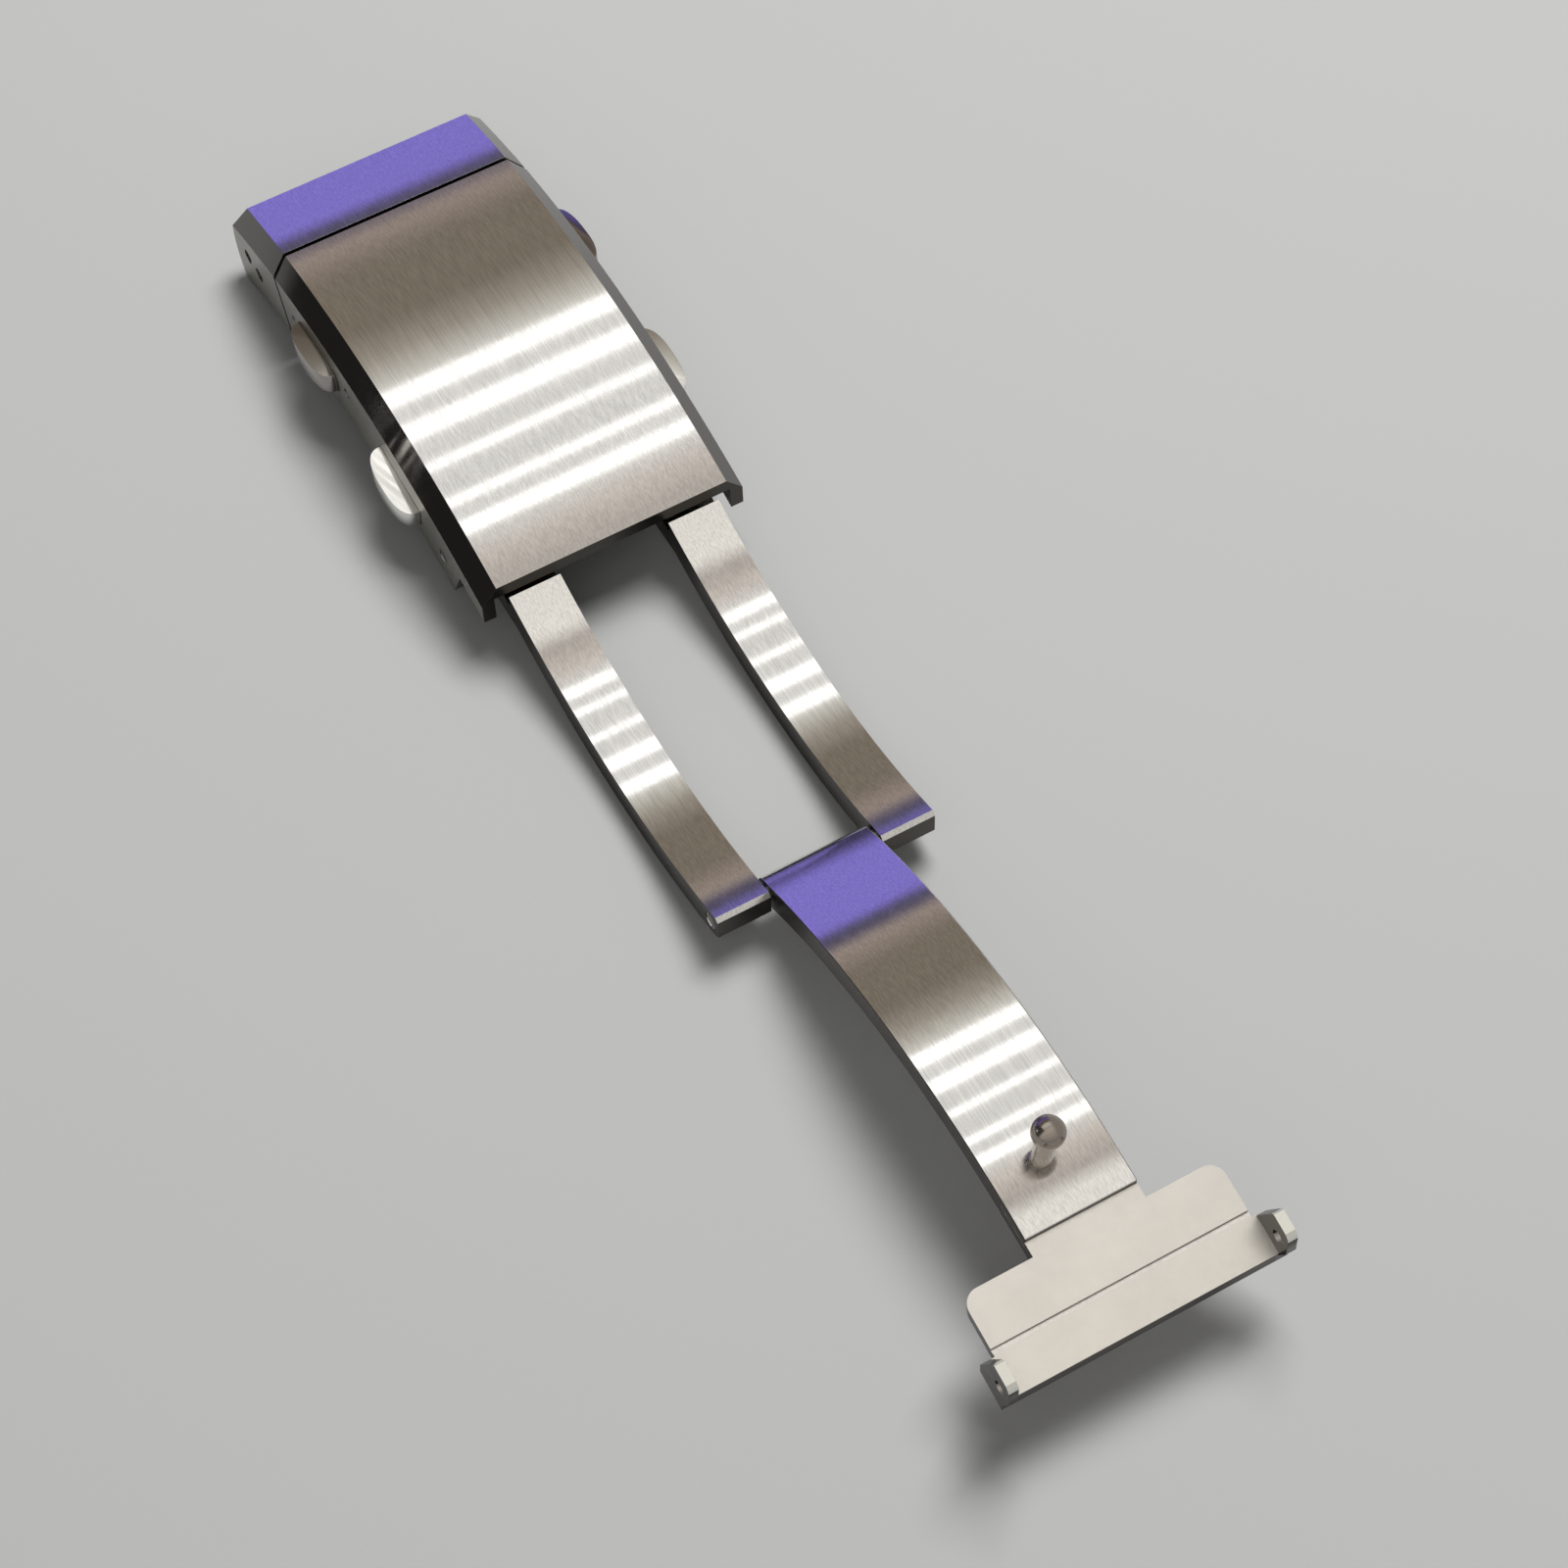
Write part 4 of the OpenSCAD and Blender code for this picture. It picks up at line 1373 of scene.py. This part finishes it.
@dataclass
class Surroundings:
    """The soft surroundings, whose bands show in the steel.

    Attributes:
        ambient: Their level for all but mirror rays.
        strips: Bright strips by elevation from -X over the top, in degrees.
        strip_light: Their colour.
        pale: Colour far to the +Y side.
        dark: Colour of the corner far to the -X -Y side.
        side_y: Between which parts of Y a side begins and is full.
        dark_x: Between which parts of X the dark corner begins and is full.
        glint: Direction of a small bright place low on the -Y side.
        glint_light: Its colour.
        glint_rim: Cosines between which its rim lies.
        glint_scale: Scale of the noise that breaks it up.
        glint_gaps: Noise values between which it begins.
    """

    ambient: Colour = (0.22, 0.22, 0.22)
    strips: tuple[Point, ...] = ((55.6, 58.9), (61.5, 64.0), (68.0, 69.4), (73.3, 75.0),
                                 (77.2, 78.9))
    strip_light: Colour = (1.6, 1.58, 1.54)
    pale: Colour = (0.50, 0.48, 0.46)
    dark: Colour = (0.06, 0.058, 0.055)
    side_y: Point = (0.42, 0.58)
    dark_x: Point = (0.15, -0.05)
    glint: Triple = (-0.51, -0.83, 0.23)
    glint_light: Colour = (5.0, 4.9, 4.7)
    glint_rim: Point = (0.9960, 0.9985)
    glint_scale: float = 55.0
    glint_gaps: Point = (0.50, 0.56)

    def tones(self) -> list[tuple[float, Colour]]:
        """Tones by elevation from -X over the top.

        Returns:
            Each tone's place in degrees, and the tone.
        """
        violet, seam, brown = (0.26, 0.21, 0.72), (0.10, 0.09, 0.14), (0.225, 0.19, 0.15)
        gap = (0.82, 0.81, 0.78)
        return [(6, (0.05, 0.045, 0.09)), (10, violet), (24.5, violet), (26.5, seam),
                (28.3, seam), (30.5, (0.38, 0.31, 0.27)), (36, brown), (46, brown),
                (51, (0.38, 0.34, 0.29)), (55, (0.68, 0.66, 0.60)), (57, gap), (79, gap),
                (83, (0.68, 0.62, 0.56)), (87, (0.50, 0.46, 0.42)), (90, (0.95, 0.92, 0.86)),
                (110, (0.85, 0.82, 0.75)), (180, (0.45, 0.44, 0.42))]

    def strip_mask(self) -> list[tuple[float, Colour]]:
        """Where each bright strip begins and ends, as steps of a mask.

        Returns:
            Each step's place in degrees, and black or white.
        """
        off, on = (0.0, 0.0, 0.0), (1.0, 1.0, 1.0)
        return [(0.0, off)] + [step for start, stop in self.strips
                               for step in ((start, on), (stop, off))]

    def build(self) -> None:
        """Wires the world: bands by elevation, then the two sides, then the glint."""
        world = bpy.data.worlds.new("studio")
        world.use_nodes = True
        bpy.context.scene.world = world
        w = Wiring(world.node_tree)
        where = w.node("TexCoord").outputs["Generated"]
        split = w.node("SeparateXYZ")
        w.put(split.inputs[0], where)
        x, y, z = split.outputs
        share = w.work("DIVIDE", w.work("ARCTAN2", z, w.work("MULTIPLY", x, -1.0)), math.pi)
        bands = w.mix(w.ramp(share, self.strip_mask(), stepped=True),
                      w.ramp(share, self.tones()), self.strip_light)
        far_right, far_left = self.side_y, tuple(-part for part in self.side_y)
        corner = w.work("MULTIPLY", w.level(y, far_left, soft=True),
                        w.level(x, self.dark_x, soft=True))
        sides = w.mix(corner, w.mix(w.level(y, far_right, soft=True), bands, self.pale),
                      self.dark)
        towards = w.work("DOT_PRODUCT", where, self.glint, kind="VectorMath")
        broken = w.noise(where, self.glint_scale, detail=2.0, rough=0.5)
        spark = w.work("MULTIPLY", w.level(towards, self.glint_rim, soft=True),
                       w.level(broken, self.glint_gaps, soft=True))
        mirror = w.node("LightPath").outputs["Is Glossy Ray"]
        back = w.tree.nodes["Background"]
        w.put(back.inputs["Color"],
              w.mix(mirror, self.ambient, w.mix(spark, sides, self.glint_light)))
        w.put(back.inputs["Strength"], 1.0)


@dataclass(frozen=True)
class Lamp:
    """A soft square lamp over the clasp, which the steel doesn't mirror.

    Attributes:
        name: Its name.
        place: Its place, metres.
        size: Its side, metres.
        power: Its power, watts.
    """

    name: str
    place: Triple
    size: float
    power: float

    def build(self) -> None:
        """Adds the lamp."""
        data = bpy.data.lights.new(self.name, "AREA")
        data.size, data.energy = self.size, self.power
        lamp = in_scene(self.name, data)
        lamp.location = self.place
        lamp.rotation_mode = "QUATERNION"
        lamp.rotation_quaternion = (-Vector(self.place)).to_track_quat("-Z", "Y")
        lamp.visible_glossy = False


@dataclass
class Studio:
    """Camera, floor, surroundings and lamps.

    Attributes:
        eye: Camera position, metres.
        right: Camera's right in the frame.
        up: Camera's up in the frame.
        lens: Focal length, mm.
        sensor: Width of the sensor, mm.
        clip: Nearest and furthest that the camera sees, metres.
        floor: Colour of the floor.
        floor_half: Half its width, metres.
        floor_z: Its height, a trace under the clasp, metres.
        floor_rough: Its roughness.
        floor_gloss: Its specular level.
        lamps: The lamps.
    """

    eye: Triple = (0.131186, -0.062037, 0.218384)
    right: Triple = (0.492263, 0.869994, -0.028063)
    up: Triple = (-0.723910, 0.427082, 0.541808)
    lens: float = 89.85
    sensor: float = 36.0
    clip: Point = (0.01, 10.0)
    floor: Colour = (0.37, 0.37, 0.365)
    floor_half: float = 2.0
    floor_z: float = -0.00002
    floor_rough: float = 0.8
    floor_gloss: float = 0.2
    lamps: tuple[Lamp, ...] = (Lamp("key", (-0.14, 0.22, 0.56), 0.30, 5.2),
                               Lamp("fill", (0.35, -0.3, 0.45), 0.5, 0.5))

    def build(self) -> None:
        """Sets up everything round the clasp."""
        self.add_camera()
        self.add_floor()
        for part in (Surroundings(), *self.lamps):
            part.build()
        bpy.context.scene.view_settings.view_transform = "Standard"

    def add_camera(self) -> None:
        """Adds the camera at the photograph's viewpoint."""
        data = bpy.data.cameras.new("camera")
        data.lens, data.sensor_width = self.lens, self.sensor
        data.clip_start, data.clip_end = self.clip
        cam = in_scene("camera", data)
        x, y = Vector(self.right).normalized(), Vector(self.up).normalized()
        turn = Matrix((x, y, x.cross(y))).transposed().to_4x4()
        cam.matrix_world = Matrix.Translation(self.eye) @ turn
        bpy.context.scene.camera = cam

    def add_floor(self) -> None:
        """Adds the plain floor."""
        half = self.floor_half
        mesh = bpy.data.meshes.new("floor")
        mesh.from_pydata([(x, y, self.floor_z) for x, y in block(-half, half, -half, half)],
                         [], [(0, 1, 2, 3)])
        coat = Coat("floor")
        coat.feed("Base Color", self.floor)
        coat.feed("Roughness", self.floor_rough)
        coat.feed("Specular IOR Level", self.floor_gloss)
        mesh.materials.append(coat.material)
        in_scene("floor", mesh)


def main() -> None:
    """Builds the clasp and its studio."""
    logging.basicConfig(level=logging.INFO, format="%(message)s")
    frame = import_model()
    shared = (frame, Mesher(), {})
    cover = Cover(*shared)
    for part in (cover, EndLink(*shared, cover), Pushers(*shared, cover), Arms(*shared),
                 Blade(*shared)):
        part.build()
    Studio().build()


if __name__ == "__main__":
    main()
